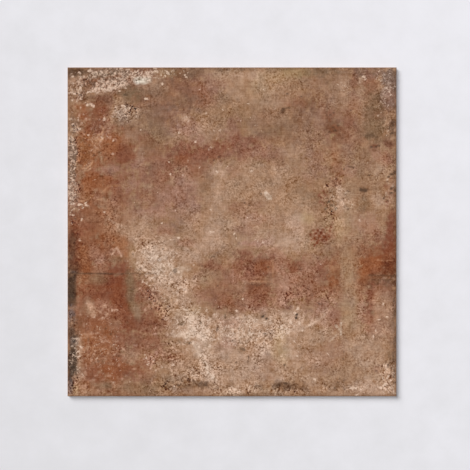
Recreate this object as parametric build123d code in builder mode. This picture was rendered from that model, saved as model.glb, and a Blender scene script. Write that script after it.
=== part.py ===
"""A square stone-look floor tile: one slab of dry-pressed stoneware, ground square on its sides.

The slab lies on its bed with the printed wear face up. The origin is the centre of the bed,
+Z points out of the wear face, and X and Y run along the sides. All sizes are in millimetres.
"""

from build123d import *
import os

# The slab.
side = 600.0
thickness = 10.0

# The edges that the grinding wheels leave: a fine arris round the wear face, a wider one round the bed.
face_arris = 0.8
bed_arris = 1.2

# The keyed bed. The die presses shallow pockets into it, and the ribs left between them grip the mortar.
pockets_per_side = 16
pocket_pitch = 36.0
rib_width = 4.0
pocket_depth = 0.6
pocket_draft = 45.0

pocket_mouth = pocket_pitch - rib_width


with BuildPart() as tile:
    with BuildSketch():
        Rectangle(side, side)
    extrude(amount=thickness)

    # The ground arrises round the face and the bed.
    chamfer(tile.faces().sort_by(Axis.Z)[-1].edges(), length=face_arris)
    chamfer(tile.faces().sort_by(Axis.Z)[0].edges(), length=bed_arris)

    # The pockets of the keyed bed, each narrowing towards its floor so that the die lets go.
    with BuildSketch():
        with GridLocations(pocket_pitch, pocket_pitch, pockets_per_side, pockets_per_side):
            Rectangle(pocket_mouth, pocket_mouth)
    extrude(amount=pocket_depth, taper=pocket_draft, mode=Mode.SUBTRACT)

tile.part.label = "tile"

os.makedirs("parts", exist_ok=True)
export_step(tile.part, "parts/tile.step")

print("tile", tile.part.bounding_box().size, "volume", round(tile.part.volume), "valid", tile.part.is_valid)
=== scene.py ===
import math

import bpy
import numpy as np
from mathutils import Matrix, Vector, noise


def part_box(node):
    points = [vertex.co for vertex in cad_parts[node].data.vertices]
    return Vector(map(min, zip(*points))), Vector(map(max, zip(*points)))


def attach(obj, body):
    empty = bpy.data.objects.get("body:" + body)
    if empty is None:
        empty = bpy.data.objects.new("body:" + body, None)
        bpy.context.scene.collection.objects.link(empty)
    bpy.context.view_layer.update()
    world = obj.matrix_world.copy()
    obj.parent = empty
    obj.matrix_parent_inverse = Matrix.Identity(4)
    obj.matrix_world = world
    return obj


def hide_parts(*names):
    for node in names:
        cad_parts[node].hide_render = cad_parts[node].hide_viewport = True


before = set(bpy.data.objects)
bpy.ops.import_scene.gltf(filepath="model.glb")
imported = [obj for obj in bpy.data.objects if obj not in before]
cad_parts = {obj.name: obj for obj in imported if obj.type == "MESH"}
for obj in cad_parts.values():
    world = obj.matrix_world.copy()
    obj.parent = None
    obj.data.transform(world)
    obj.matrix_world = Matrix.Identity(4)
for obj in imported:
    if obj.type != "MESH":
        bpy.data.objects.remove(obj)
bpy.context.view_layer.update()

# The printed face
# A matt glaze printed like worn terracotta and fired into the slab, so it is a finish and not a piece.
# The painted layers further down give its colours, and this gives the grain, the salts and the pits.

mm = 0.001
low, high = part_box("tile")
side = high.x - low.x
thickness = high.z - low.z


def linear(hex_colour):
    """An sRGB hex colour as the linear RGBA that Blender's sockets hold."""
    channels = [int(hex_colour[i:i + 2], 16) / 255 for i in (1, 3, 5)]
    return tuple(c / 12.92 if c <= 0.04045 else ((c + 0.055) / 1.055) ** 2.4 for c in channels) + (1.0,)


def add(tree, kind, inputs=None, **settings):
    """Adds a node. An input takes a value, or the output or the node that feeds it."""
    node = tree.nodes.new(kind)
    for name, value in settings.items():
        setattr(node, name, value)
    for name, value in (inputs or {}).items():
        if isinstance(value, bpy.types.Node):
            value = next(output for output in value.outputs if output.enabled)
        if isinstance(value, bpy.types.NodeSocket):
            tree.links.new(value, node.inputs[name])
        else:
            node.inputs[name].default_value = value
    return node


def grain(width_mm, octaves, share, gain=1.0, shift=(0.0, 0.0, 0.0), stretch=(1.0, 1.0, 1.0), curl=0.0):
    """Noise about 0, two thirds of it within the gain, with its widest spots that wide."""
    spread = add(tree, "ShaderNodeMapping", {"Vector": place, "Location": shift, "Scale": stretch})
    settings = {"Vector": spread, "Scale": 1 / (width_mm * mm), "Detail": octaves, "Roughness": share}
    raw = add(tree, "ShaderNodeTexNoise", {**settings, "Distortion": curl})
    about = {"From Min": 0.5, "From Max": 0.591, "To Max": gain}
    return add(tree, "ShaderNodeMapRange", {"Value": raw, **about}, clamp=False)


# Matt glaze on pressed stoneware: rough and dry to the eye, with lime specks and small dark pits.
glaze = bpy.data.materials.new("printed_matt_glaze")
glaze.use_nodes = True
tree = glaze.node_tree
tree.nodes.clear()
place = add(tree, "ShaderNodeTexCoord").outputs["Object"]
ground = add(tree, "ShaderNodeAttribute", attribute_name="print_colour").outputs["Color"]
marks = add(tree, "ShaderNodeAttribute", attribute_name="print_marks").outputs["Vector"]
marks = add(tree, "ShaderNodeSeparateXYZ", {"Vector": marks})
salting_here, pitting_here, graining_here = marks.outputs["X"], marks.outputs["Y"], marks.outputs["Z"]

# Mottling 15 mm wide and finer runs all over, and a faint weave shows where the grain is calm.
# All of it shows less on the darker prints.
# The real grain is too fine for a pixel of 1.8 mm, so it is drawn nearly 3 mm wide to show.
mottle = grain(15, 3, 0.9)
across = grain(2.6, 1, 0.5, stretch=(0.08, 1.0, 1.0))
along = grain(2.6, 1, 0.5, shift=(0.2, 0.5, 0.0), stretch=(1.0, 0.08, 1.0))
fine = grain(2.8, 1, 0.6, shift=(0.37, 0.11, 0.0))
curls = grain(13, 2, 0.6, shift=(0.55, 0.31, 0.0), curl=0.8)
curls = add(tree, "ShaderNodeMath", {0: curls, 1: 3.0}, operation="MULTIPLY")
curls = add(tree, "ShaderNodeMath", {0: curls}, operation="SINE")
busy = {"Value": grain(40, 2, 0.6, shift=(0.91, 0.47, 0.0)), "From Min": -1.5, "From Max": 1.5}
busy = add(tree, "ShaderNodeMapRange", {**busy, "To Min": 0.3, "To Max": 1.7})
weave = add(tree, "ShaderNodeMath", {0: across, 1: along}, operation="ADD")
weave_gain = add(tree, "ShaderNodeMath", {0: busy, 1: -0.008, 2: 0.019}, operation="MULTIPLY_ADD")
fine_gain = add(tree, "ShaderNodeMath", {0: graining_here, 1: 0.13, 2: 0.026}, operation="MULTIPLY_ADD")
curl_gain = add(tree, "ShaderNodeMath", {0: graining_here, 1: 0.17, 2: 0.020}, operation="MULTIPLY_ADD")
mottle_gain = add(tree, "ShaderNodeMath", {0: graining_here, 1: 0.060, 2: 0.042}, operation="MULTIPLY_ADD")
tone = add(tree, "ShaderNodeMath", {0: fine, 1: fine_gain}, operation="MULTIPLY")
tone = add(tree, "ShaderNodeMath", {0: curls, 1: curl_gain, 2: tone}, operation="MULTIPLY_ADD")
tone = add(tree, "ShaderNodeMath", {0: tone, 1: busy}, operation="MULTIPLY")
tone = add(tree, "ShaderNodeMath", {0: weave, 1: weave_gain, 2: tone}, operation="MULTIPLY_ADD")
tone = add(tree, "ShaderNodeMath", {0: mottle, 1: mottle_gain, 2: tone}, operation="MULTIPLY_ADD")
shown = add(tree, "ShaderNodeRGBToBW", {"Color": ground})
shown = {"Value": shown, "From Min": 0.06, "From Max": 0.17, "To Min": 0.78, "To Max": 1.25}
shown = add(tree, "ShaderNodeMapRange", shown)
tone = add(tree, "ShaderNodeMath", {0: tone, 1: shown}, operation="MULTIPLY")
tint = grain(28, 3, 0.7, shift=(0.29, 0.67, 0.0))
tinted = {0: tint, 1: (0.012, -0.004, -0.016), 2: tone}
tinted = add(tree, "ShaderNodeVectorMath", tinted, operation="MULTIPLY_ADD")
lifted = add(tree, "ShaderNodeGamma", {"Color": ground, "Gamma": 0.55})
colour = add(tree, "ShaderNodeVectorMath", {0: lifted, 1: tinted, 2: ground}, operation="MULTIPLY_ADD")

# Lime salts: crumbs 6 mm wide and finer that close up into crusts where they lie thick.
crumbs = grain(6, 3, 0.95, shift=(0.71, 0.23, 0.0), curl=0.6)
crust = add(tree, "ShaderNodeMath", {0: salting_here, 1: 3.2, 2: crumbs}, operation="MULTIPLY_ADD")
salts = {"Value": crust, "From Min": 2.1, "From Max": 3.3, "To Max": 0.9}
salts = add(tree, "ShaderNodeMapRange", salts, interpolation_type="SMOOTHSTEP")
whiteness = {"Value": salting_here, "From Min": 0.2, "To Min": 0.3, "To Max": 0.8}
whiteness = add(tree, "ShaderNodeMapRange", whiteness)
lime = {"Factor": whiteness, "A": lifted, "B": linear("#e8c8b0")}
lime = add(tree, "ShaderNodeMix", lime, data_type="RGBA")
colour = add(tree, "ShaderNodeMix", {"Factor": salts, "A": colour, "B": lime}, data_type="RGBA")

# Pits, 4 mm wide and finer, darker than the glaze round them and sunk below it.
hollows = grain(4, 2, 0.9, shift=(0.13, 0.83, 0.0), curl=0.4)
hollow = add(tree, "ShaderNodeMath", {0: pitting_here, 1: 3.5, 2: hollows}, operation="MULTIPLY_ADD")
pits = {"Value": hollow, "From Min": 2.4, "From Max": 3.8, "To Max": 0.9}
pits = add(tree, "ShaderNodeMapRange", pits, interpolation_type="SMOOTHSTEP")
sunken = add(tree, "ShaderNodeMix", {"Factor": 0.6, "A": ground, "B": linear("#402a18")}, data_type="RGBA")
colour = add(tree, "ShaderNodeMix", {"Factor": pits, "A": colour, "B": sunken}, data_type="RGBA")

height = add(tree, "ShaderNodeMath", {0: tone, 1: 4.0, 2: salts}, operation="MULTIPLY_ADD")
height = add(tree, "ShaderNodeMath", {0: height, 1: pits}, operation="SUBTRACT")
bump = add(tree, "ShaderNodeBump", {"Strength": 0.35, "Distance": 0.06 * mm, "Height": height})
polish = {"Value": height, "From Min": -1.0, "From Max": 1.0, "To Min": 0.72, "To Max": 0.86}
polish = add(tree, "ShaderNodeMapRange", polish)
coat = {"Base Color": colour, "Roughness": polish, "Normal": bump, "IOR": 1.5, "Specular IOR Level": 0.25}
coat = add(tree, "ShaderNodeBsdfPrincipled", coat)
add(tree, "ShaderNodeOutputMaterial", {"Surface": coat})

# The slab
# One slab of stoneware, pressed dry in a die, fired, then ground square on its four sides.
# The grinding leaves an arris round the face and the bed, and the die leaves pockets in the bed.

face_arris = 0.8 * mm
bed_arris = 1.2 * mm
pockets_per_side = 16
pocket_pitch = 36 * mm
pocket_mouth = 32 * mm
pocket_depth = 0.6 * mm
pocket_floor = pocket_mouth - 2 * pocket_depth
relief_depth = 0.12 * mm
relief_width = 45 * mm
relief_fade = 5 * mm
face_cells = 300
weld = 0.01 * mm

# Fired stoneware body: dense, dry and brown, with fine dark and pale grains where it was ground.
body = bpy.data.materials.new("fired_stoneware_body")
body.use_nodes = True
tree = body.node_tree
tree.nodes.clear()
place = add(tree, "ShaderNodeTexCoord").outputs["Object"]
cloudy = grain(30, 2, 0.6)
grit = grain(1.8, 2, 0.8, shift=(0.4, 0.2, 0.1))
cloud = {"Value": cloudy, "From Min": -1.6, "From Max": 1.6, "To Max": 0.5}
cloud = add(tree, "ShaderNodeMapRange", cloud, interpolation_type="SMOOTHSTEP")
colour = {"Factor": cloud, "A": linear("#8a6650"), "B": linear("#967158")}
colour = add(tree, "ShaderNodeMix", colour, data_type="RGBA")
pale_grit = {"Value": grit, "From Min": 0.9, "From Max": 2.2, "To Max": 0.45}
pale_grit = add(tree, "ShaderNodeMapRange", pale_grit, interpolation_type="SMOOTHSTEP")
colour = {"Factor": pale_grit, "A": colour, "B": linear("#b79a80")}
colour = add(tree, "ShaderNodeMix", colour, data_type="RGBA")
dark_grit = {"Value": grit, "From Min": -0.9, "From Max": -2.0, "To Max": 0.55}
dark_grit = add(tree, "ShaderNodeMapRange", dark_grit, interpolation_type="SMOOTHSTEP")
colour = {"Factor": dark_grit, "A": colour, "B": linear("#523a2c")}
colour = add(tree, "ShaderNodeMix", colour, data_type="RGBA")
# The wash that keeps the ribs off the kiln's rollers leaves them dusted with white.
down = add(tree, "ShaderNodeSeparateXYZ", {"Vector": place}).outputs["Z"]
dusted = {"Value": down, "From Min": 0.10 * mm, "From Max": 0.02 * mm, "To Max": 0.5}
dusted = add(tree, "ShaderNodeMapRange", dusted)
rubbed = {"Value": grain(9, 3, 0.8, shift=(0.6, 0.1, 0.0)), "From Min": -1.2, "From Max": 1.2}
rubbed = add(tree, "ShaderNodeMapRange", rubbed, interpolation_type="SMOOTHSTEP")
dusted = add(tree, "ShaderNodeMath", {0: dusted, 1: rubbed}, operation="MULTIPLY")
colour = {"Factor": dusted, "A": colour, "B": linear("#d5cabc")}
colour = add(tree, "ShaderNodeMix", colour, data_type="RGBA")
bump = add(tree, "ShaderNodeBump", {"Strength": 0.5, "Distance": 0.05 * mm, "Height": grit})
bare = {"Base Color": colour, "Roughness": 0.85, "Normal": bump, "IOR": 1.5}
bare = add(tree, "ShaderNodeBsdfPrincipled", bare)
add(tree, "ShaderNodeOutputMaterial", {"Surface": bare})

slab_tree = bpy.data.node_groups.new("pressed_slab", "GeometryNodeTree")
slab_inputs = {
    "Side": ("NodeSocketFloat", side),
    "Thickness": ("NodeSocketFloat", thickness),
    "Face Arris": ("NodeSocketFloat", face_arris),
    "Bed Arris": ("NodeSocketFloat", bed_arris),
    "Face Cells": ("NodeSocketInt", face_cells),
    "Pockets Per Side": ("NodeSocketInt", pockets_per_side),
    "Pocket Pitch": ("NodeSocketFloat", pocket_pitch),
    "Pocket Mouth": ("NodeSocketFloat", pocket_mouth),
    "Pocket Floor": ("NodeSocketFloat", pocket_floor),
    "Pocket Depth": ("NodeSocketFloat", pocket_depth),
    "Relief Depth": ("NodeSocketFloat", relief_depth),
    "Relief Width": ("NodeSocketFloat", relief_width),
    "Seed": ("NodeSocketFloat", 4.0),
    "Glaze": ("NodeSocketMaterial", glaze),
    "Body": ("NodeSocketMaterial", body),
}
socket_of = {}
for name, (kind, value) in slab_inputs.items():
    socket_of[name] = slab_tree.interface.new_socket(name, in_out="INPUT", socket_type=kind).identifier
slab_tree.interface.new_socket("Mesh", in_out="OUTPUT", socket_type="NodeSocketGeometry")
tree = slab_tree
given = add(tree, "NodeGroupInput").outputs
position = add(tree, "GeometryNodeInputPosition")


def boundary():
    """The edges that have a face on one side only."""
    neighbours = add(tree, "GeometryNodeInputMeshEdgeNeighbors")
    return add(tree, "FunctionNodeCompare", {"A": neighbours, "B": 1}, data_type="INT", operation="EQUAL")


def drawn_out(mesh, edges, scale, height):
    """The mesh with those edges drawn out to a loop, that many times as wide and at that height."""
    drawn = {"Mesh": mesh, "Selection": edges, "Offset Scale": 0.0}
    drawn = add(tree, "GeometryNodeExtrudeMesh", drawn, mode="EDGES").outputs
    factor = add(tree, "ShaderNodeCombineXYZ", {"X": scale, "Y": scale, "Z": 0.0})
    lift = add(tree, "ShaderNodeCombineXYZ", {"X": 0.0, "Y": 0.0, "Z": height})
    where = add(tree, "ShaderNodeVectorMath", {0: position, 1: factor, 2: lift}, operation="MULTIPLY_ADD")
    moved = {"Geometry": drawn["Mesh"], "Selection": drawn["Top"], "Position": where}
    return add(tree, "GeometryNodeSetPosition", moved), drawn["Top"]


# The face is a fine grid, pressed down by up to the relief's depth, and flat again at its rim.
face_side = {0: given["Face Arris"], 1: -2.0, 2: given["Side"]}
face_side = add(tree, "ShaderNodeMath", face_side, operation="MULTIPLY_ADD")
face_points = add(tree, "ShaderNodeMath", {0: given["Face Cells"], 1: 1.0}, operation="ADD")
face = {"Size X": face_side, "Size Y": face_side, "Vertices X": face_points, "Vertices Y": face_points}
face = add(tree, "GeometryNodeMeshGrid", face).outputs["Mesh"]
relief_scale = add(tree, "ShaderNodeMath", {0: 1.0, 1: given["Relief Width"]}, operation="DIVIDE")
swell = {"Vector": position, "W": given["Seed"], "Scale": relief_scale, "Detail": 4.0}
swell = add(tree, "ShaderNodeTexNoise", swell, noise_dimensions="4D")
spread = add(tree, "ShaderNodeVectorMath", {0: position}, operation="ABSOLUTE")
spread = add(tree, "ShaderNodeSeparateXYZ", {"Vector": spread}).outputs
reach = add(tree, "ShaderNodeMath", {0: spread["X"], 1: spread["Y"]}, operation="MAXIMUM")
inland = add(tree, "ShaderNodeMath", {0: face_side, 1: 0.5}, operation="MULTIPLY")
inland = add(tree, "ShaderNodeMath", {0: inland, 1: reach}, operation="SUBTRACT")
inland = add(tree, "ShaderNodeMath", {0: inland, 1: 1 / relief_fade}, operation="MULTIPLY", use_clamp=True)
sunk = add(tree, "ShaderNodeMath", {0: swell, 1: inland}, operation="MULTIPLY")
sunk = add(tree, "ShaderNodeMath", {0: sunk, 1: given["Relief Depth"]}, operation="MULTIPLY")
face_height = add(tree, "ShaderNodeMath", {0: given["Thickness"], 1: sunk}, operation="SUBTRACT")
lift = add(tree, "ShaderNodeCombineXYZ", {"X": 0.0, "Y": 0.0, "Z": face_height})
face = add(tree, "GeometryNodeSetPosition", {"Geometry": face, "Offset": lift})

# The arris, the ground side and the lower arris follow the face's rim down to the bed.
arris_top = {0: given["Thickness"], 1: given["Face Arris"]}
arris_top = add(tree, "ShaderNodeMath", arris_top, operation="SUBTRACT")
bed_side = {0: given["Bed Arris"], 1: -2.0, 2: given["Side"]}
bed_side = add(tree, "ShaderNodeMath", bed_side, operation="MULTIPLY_ADD")
widening = add(tree, "ShaderNodeMath", {0: given["Side"], 1: face_side}, operation="DIVIDE")
narrowing = add(tree, "ShaderNodeMath", {0: bed_side, 1: given["Side"]}, operation="DIVIDE")
shell, rim = drawn_out(face, boundary(), widening, arris_top)
shell, rim = drawn_out(shell, rim, 1.0, given["Bed Arris"])
shell, rim = drawn_out(shell, rim, narrowing, 0.0)

# One pocket is a flat floor with four drafted walls, set out on a square grid over the bed.
pocket = {"Size X": given["Pocket Floor"], "Size Y": given["Pocket Floor"], "Vertices X": 2, "Vertices Y": 2}
pocket = add(tree, "GeometryNodeMeshGrid", pocket).outputs["Mesh"]
lift = add(tree, "ShaderNodeCombineXYZ", {"X": 0.0, "Y": 0.0, "Z": given["Pocket Depth"]})
pocket = add(tree, "GeometryNodeSetPosition", {"Geometry": pocket, "Offset": lift})
draft = add(tree, "ShaderNodeMath", {0: given["Pocket Mouth"], 1: given["Pocket Floor"]}, operation="DIVIDE")
pocket, _ = drawn_out(pocket, boundary(), draft, 0.0)
gaps = add(tree, "ShaderNodeMath", {0: given["Pockets Per Side"], 1: 1.0}, operation="SUBTRACT")
field = add(tree, "ShaderNodeMath", {0: given["Pocket Pitch"], 1: gaps}, operation="MULTIPLY")
field = {"Size X": field, "Size Y": field}
field.update({"Vertices X": given["Pockets Per Side"], "Vertices Y": given["Pockets Per Side"]})
field = add(tree, "GeometryNodeMeshGrid", field).outputs["Mesh"]
pockets = add(tree, "GeometryNodeInstanceOnPoints", {"Points": field, "Instance": pocket})
pockets = add(tree, "GeometryNodeRealizeInstances", {"Geometry": pockets})

# The ribs between the pockets, and the rim round them, fill what is left of the bed.
loops = add(tree, "GeometryNodeJoinGeometry")
outer = add(tree, "GeometryNodeMeshToCurve", {"Mesh": shell, "Selection": rim})
mouths = add(tree, "GeometryNodeMeshToCurve", {"Mesh": pockets, "Selection": boundary()})
tree.links.new(outer.outputs["Curve"], loops.inputs["Geometry"])
tree.links.new(mouths.outputs["Curve"], loops.inputs["Geometry"])
ribs = add(tree, "GeometryNodeFillCurve", {"Curve": loops})
bed = add(tree, "GeometryNodeJoinGeometry")
tree.links.new(pockets.outputs["Geometry"], bed.inputs["Geometry"])
tree.links.new(ribs.outputs["Mesh"], bed.inputs["Geometry"])
bed = add(tree, "GeometryNodeFlipFaces", {"Mesh": bed})
whole = add(tree, "GeometryNodeJoinGeometry")
tree.links.new(shell.outputs["Geometry"], whole.inputs["Geometry"])
tree.links.new(bed.outputs["Mesh"], whole.inputs["Geometry"])
whole = add(tree, "GeometryNodeMergeByDistance", {"Geometry": whole, "Distance": weld})

# The face alone is smooth and glazed. The arrises, the ground sides and the bed are bare body.
nearly_level = 0.9
normal = add(tree, "GeometryNodeInputNormal").outputs["Normal"]
upward = add(tree, "ShaderNodeSeparateXYZ", {"Vector": normal}).outputs["Z"]
is_face = {"A": upward, "B": nearly_level}
is_face = add(tree, "FunctionNodeCompare", is_face, data_type="FLOAT", operation="GREATER_THAN")
whole = add(tree, "GeometryNodeSetShadeSmooth", {"Geometry": whole, "Shade Smooth": is_face})
whole = add(tree, "GeometryNodeRealizeInstances", {"Geometry": whole})
whole = add(tree, "GeometryNodeSetMaterial", {"Geometry": whole, "Material": given["Body"]})
glazed = {"Geometry": whole, "Selection": is_face, "Material": given["Glaze"]}
glazed = add(tree, "GeometryNodeSetMaterial", glazed)
add(tree, "NodeGroupOutput", {"Mesh": glazed})

slab = bpy.data.objects.new("pressed_tile", bpy.data.meshes.new("pressed_tile_blank"))
bpy.context.scene.collection.objects.link(slab)
press = slab.modifiers.new("pressed_slab", "NODES")
press.node_group = slab_tree
for name, (kind, value) in slab_inputs.items():
    press[socket_of[name]] = value
bpy.context.view_layer.update()
slab_mesh = bpy.data.meshes.new_from_object(slab.evaluated_get(bpy.context.evaluated_depsgraph_get()))
slab_mesh.name = "pressed_tile"
slab.modifiers.remove(press)
slab.data = slab_mesh

# The print
# Painted on the face's own points, in millimetres from its centre, x to the right and y up.
# Each layer follows the photograph, with edges broken up as wear breaks them.

points = np.empty(len(slab_mesh.vertices) * 3, np.float32)
slab_mesh.vertices.foreach_get("co", points)
points = points.reshape(-1, 3) / mm

inks = {
    "sand": "#9c7659",
    "tan": "#aa866c",
    "straw": "#b09068",
    "pale": "#b8957d",
    "cream": "#cfb49e",
    "chalk": "#ddd0bf",
    "peach": "#c2906c",
    "blush": "#c59a80",
    "rose": "#a67b68",
    "pink": "#9f7058",
    "mauve": "#8f6552",
    "khaki": "#9a7c58",
    "ginger": "#955e3a",
    "clay": "#895840",
    "brick": "#7c4630",
    "rust": "#8b4e28",
    "deep_rust": "#733412",
    "ochre": "#a06a34",
    "olive": "#846448",
    "grey_olive": "#745c45",
    "umber": "#553722",
    "soot": "#34281c",
    "ash": "#6c5d58",
}
inks = {name: np.array(linear(value)[:3]) for name, value in inks.items()}


def wandering(width_mm, octaves, seed):
    """Noise at every point, about 0 and mostly between -1 and 1, with swells that wide."""
    swells = np.array(
        [
            noise.fractal((x / width_mm + seed, y / width_mm, seed), 0.6, 2.0, octaves)
            for x, y in points[:, :2].tolist()
        ]
    )
    return (swells - swells.mean()) / swells.std()


drift = np.stack([wandering(45, 3, 3.1), wandering(45, 3, 8.4)], axis=1)
crumble = 0.6 * wandering(26, 2, 5.7) + 0.8 * wandering(8, 3, 11.2)

# What the strokes build up: the colour, and how thick salt, pits and grain lie on it.
least_grain = 0.15
painted = np.tile(inks["sand"], (len(points), 1))
salting = np.zeros(len(points))
pitting = np.zeros(len(points))
graining = np.full(len(points), least_grain)


def patch(x, y, width, height, turn=0, soft=0.6, ragged=0.2, square=2, sway=0.06):
    """How much of a mark lies on each point: 1 in its middle, half at its size, 0 past its edge."""
    wander = sway * min(width, height)
    east = points[:, 0] - x + wander * drift[:, 0]
    north = points[:, 1] - y + wander * drift[:, 1]
    angle = math.radians(turn)
    along = (east * math.cos(angle) + north * math.sin(angle)) / (width / 2)
    over = (north * math.cos(angle) - east * math.sin(angle)) / (height / 2)
    out = (np.abs(along) ** square + np.abs(over) ** square) ** (1 / square)
    cover = np.clip(0.5 + (1 - out) / (2 * soft) + ragged * crumble, 0, 1)
    return cover * cover * (3 - 2 * cover)


def lay(ink, cover):
    painted[:] += cover[:, None] * (inks[ink] - painted)


def stain(ink, strength, x, y, width, height, turn=0, **edge):
    lay(ink, strength * patch(x, y, width, height, turn, **edge))


def dabs(ink, strength, *marks):
    """Small brush marks of one ink: each its x, y, width, height, and its turn if it has one."""
    for mark in marks:
        stain(ink, strength, *mark, soft=0.5, ragged=0.15, sway=0)


def strewn(layer, strength, x, y, width, height, turn=0, **edge):
    """Salt, pits or grain of that strength over a patch. Where two overlap, the stronger counts."""
    layer[:] = np.maximum(layer, strength * patch(x, y, width, height, turn, **edge))


def flecks(strength, *marks):
    """Small clots of salt, placed one by one as dabs are."""
    for mark in marks:
        strewn(salting, strength, *mark, soft=0.8, ragged=0.1, sway=0)


def specks(strength, *marks):
    """Small dark pits, placed one by one as dabs are."""
    for mark in marks:
        strewn(pitting, strength, *mark, soft=0.8, ragged=0.1, sway=0)


def scratch(ink, strength, width, *route):
    """A thin broken line through the points of its route."""
    nearest = np.full(len(points), 1e9)
    for (x0, y0), (x1, y1) in zip(route, route[1:]):
        run = np.array([x1 - x0, y1 - y0])
        from_start = points[:, :2] - (x0, y0)
        share = np.clip(from_start @ run / (run @ run), 0, 1)
        nearest = np.minimum(nearest, np.hypot(*(from_start - share[:, None] * run).T))
    lay(ink, strength * np.clip(1.3 - nearest / width + 0.25 * crumble, 0, 1))


# Clouds that run over more than one part of the face.
stain("clay", 0.75, -250, 30, 150, 330, soft=1.0)
stain("clay", 0.8, -235, -190, 160, 240, soft=0.8)
stain("rust", 0.3, -235, -165, 120, 220, soft=0.8)
stain("clay", 0.55, -110, 262, 140, 90, soft=0.9)
stain("olive", 0.4, -140, 190, 80, 90, soft=1.0)
stain("mauve", 0.7, -125, 70, 150, 120, soft=1.0)
stain("mauve", 0.4, -60, 170, 150, 70, soft=1.0)
stain("tan", 0.65, 25, 262, 150, 70, soft=1.0)
stain("tan", 0.65, 20, 60, 200, 110, soft=1.0)
stain("tan", 0.65, 40, 0, 220, 60, soft=1.0)
stain("tan", 0.6, 120, 20, 90, 110, soft=1.0)
stain("mauve", 0.5, 190, 210, 170, 140, soft=1.0)
stain("olive", 0.3, 160, 215, 150, 120, soft=1.0)
stain("mauve", 0.3, 140, 195, 90, 80, soft=1.0)
stain("umber", 0.12, 124, 195, 50, 44)
stain("clay", 0.62, 40, -95, 180, 110, soft=0.7)
stain("mauve", 0.6, 140, -85, 150, 80, soft=0.8)
stain("tan", 0.6, 20, -240, 240, 90, soft=1.0)
stain("pale", 0.35, 140, -205, 120, 90, soft=1.0)
stain("tan", 0.5, 235, -220, 100, 110, soft=1.0)

# Upper left: a crusted corner over brown, then variegated rust.
stain("clay", 0.6, -215, 275, 170, 60)
stain("umber", 0.35, -215, 270, 150, 50)
stain("grey_olive", 0.8, -287, 293, 50, 16)
stain("umber", 0.75, -290, 292, 34, 22)
stain("umber", 0.4, -268, 292, 60, 14)
stain("umber", 0.15, -244, 290, 44, 16)
stain("brick", 0.25, -267, 240, 28, 22)
stain("khaki", 0.35, -132, 290, 44, 16)
stain("olive", 0.5, -192, 168, 26, 24)
stain("grey_olive", 0.35, -216, 240, 24, 18)
stain("tan", 0.85, -286, 267, 26, 36)
stain("pale", 0.5, -216, 267, 80, 22, 20)
stain("pale", 0.3, -185, 289, 120, 16)
stain("tan", 0.6, -146, 266, 34, 22)
stain("pale", 0.4, -166, 266, 22, 10)
stain("grey_olive", 0.5, -228, 288, 60, 12, 6)
stain("chalk", 0.9, -162, 276, 32, 13, 4, soft=0.4)
stain("chalk", 0.6, -172, 281, 14, 6, 10, soft=0.4)
stain("rose", 0.6, -150, 291, 52, 12)
stain("grey_olive", 0.9, -178, 250, 48, 28, soft=0.5)
stain("olive", 0.3, -178, 250, 48, 30)
stain("clay", 0.8, -230, 234, 32, 34, square=4, soft=0.3)
stain("umber", 0.35, -229, 235, 30, 34, square=4, soft=0.3)
stain("clay", 0.5, -135, 250, 70, 70)
stain("grey_olive", 0.45, -135, 258, 50, 50)
stain("tan", 0.45, -144, 268, 40, 32)
stain("mauve", 0.55, -130, 212, 90, 50)
stain("ash", 0.25, -128, 215, 90, 36)
stain("olive", 0.5, -142, 184, 42, 40)
stain("tan", 0.5, -200, 212, 52, 40)
stain("pale", 0.4, -197, 217, 44, 26)
stain("olive", 0.45, -190, 205, 52, 44)
stain("ash", 0.3, -192, 212, 48, 34)
stain("mauve", 0.3, -184, 184, 34, 44)
stain("olive", 0.45, -166, 176, 46, 50)
stain("olive", 0.3, -152, 216, 60, 30)
stain("mauve", 0.35, -175, 178, 40, 40)
stain("clay", 0.4, -128, 126, 44, 36)
stain("clay", 0.3, -100, 122, 30, 24)
stain("rust", 0.75, -255, 168, 60, 124, ragged=0.25)
stain("rust", 0.6, -278, 220, 26, 44)
stain("umber", 0.6, -264, 243, 30, 18)
stain("umber", 0.4, -286, 200, 14, 34)
stain("umber", 0.3, -160, 290, 60, 14)
stain("brick", 0.5, -240, 188, 40, 30)
stain("umber", 0.3, -238, 184, 50, 50)
stain("rust", 0.85, -218, 165, 42, 44)
stain("brick", 0.35, -252, 198, 36, 56, ragged=0.3)
stain("brick", 0.55, -205, 145, 56, 38, square=3)
stain("rust", 0.4, -215, 150, 50, 36)
stain("ginger", 0.4, -208, 145, 62, 42, square=5, soft=0.25, sway=0)
stain("ginger", 0.4, -262, 138, 34, 30)
stain("brick", 0.5, -191, 143, 30, 34, square=5, soft=0.25, sway=0)
stain("deep_rust", 0.15, -196, 142, 40, 34, square=5, soft=0.25, sway=0)
stain("tan", 0.3, -188, 170, 22, 22)
stain("deep_rust", 0.3, -269, 147, 20, 46)
stain("ochre", 0.25, -269, 150, 20, 46)
stain("peach", 0.35, -247, 165, 24, 24)
stain("peach", 0.3, -247, 148, 16, 12)
stain("tan", 0.5, -281, 190, 16, 24)
stain("rose", 0.55, -225, 113, 40, 20)
stain("pink", 0.4, -225, 190, 22, 34)
stain("clay", 0.5, -150, 146, 60, 40)
stain("olive", 0.35, -148, 148, 34, 30)
stain("tan", 0.4, -167, 138, 12, 36)
stain("mauve", 0.6, -130, 125, 50, 50)
stain("clay", 0.6, -130, 97, 70, 32)
stain("clay", 0.35, -122, 122, 60, 30)
stain("brick", 0.3, -100, 118, 34, 24)
dabs("deep_rust", 0.4, (-270, 143, 10, 12), (-268, 165, 8, 14), (-275, 128, 8, 10), (-262, 190, 10, 16))
dabs("brick", 0.5, (-205, 138, 18, 14), (-192, 133, 14, 10), (-243, 181, 10, 8), (-235, 222, 16, 10))
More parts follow.
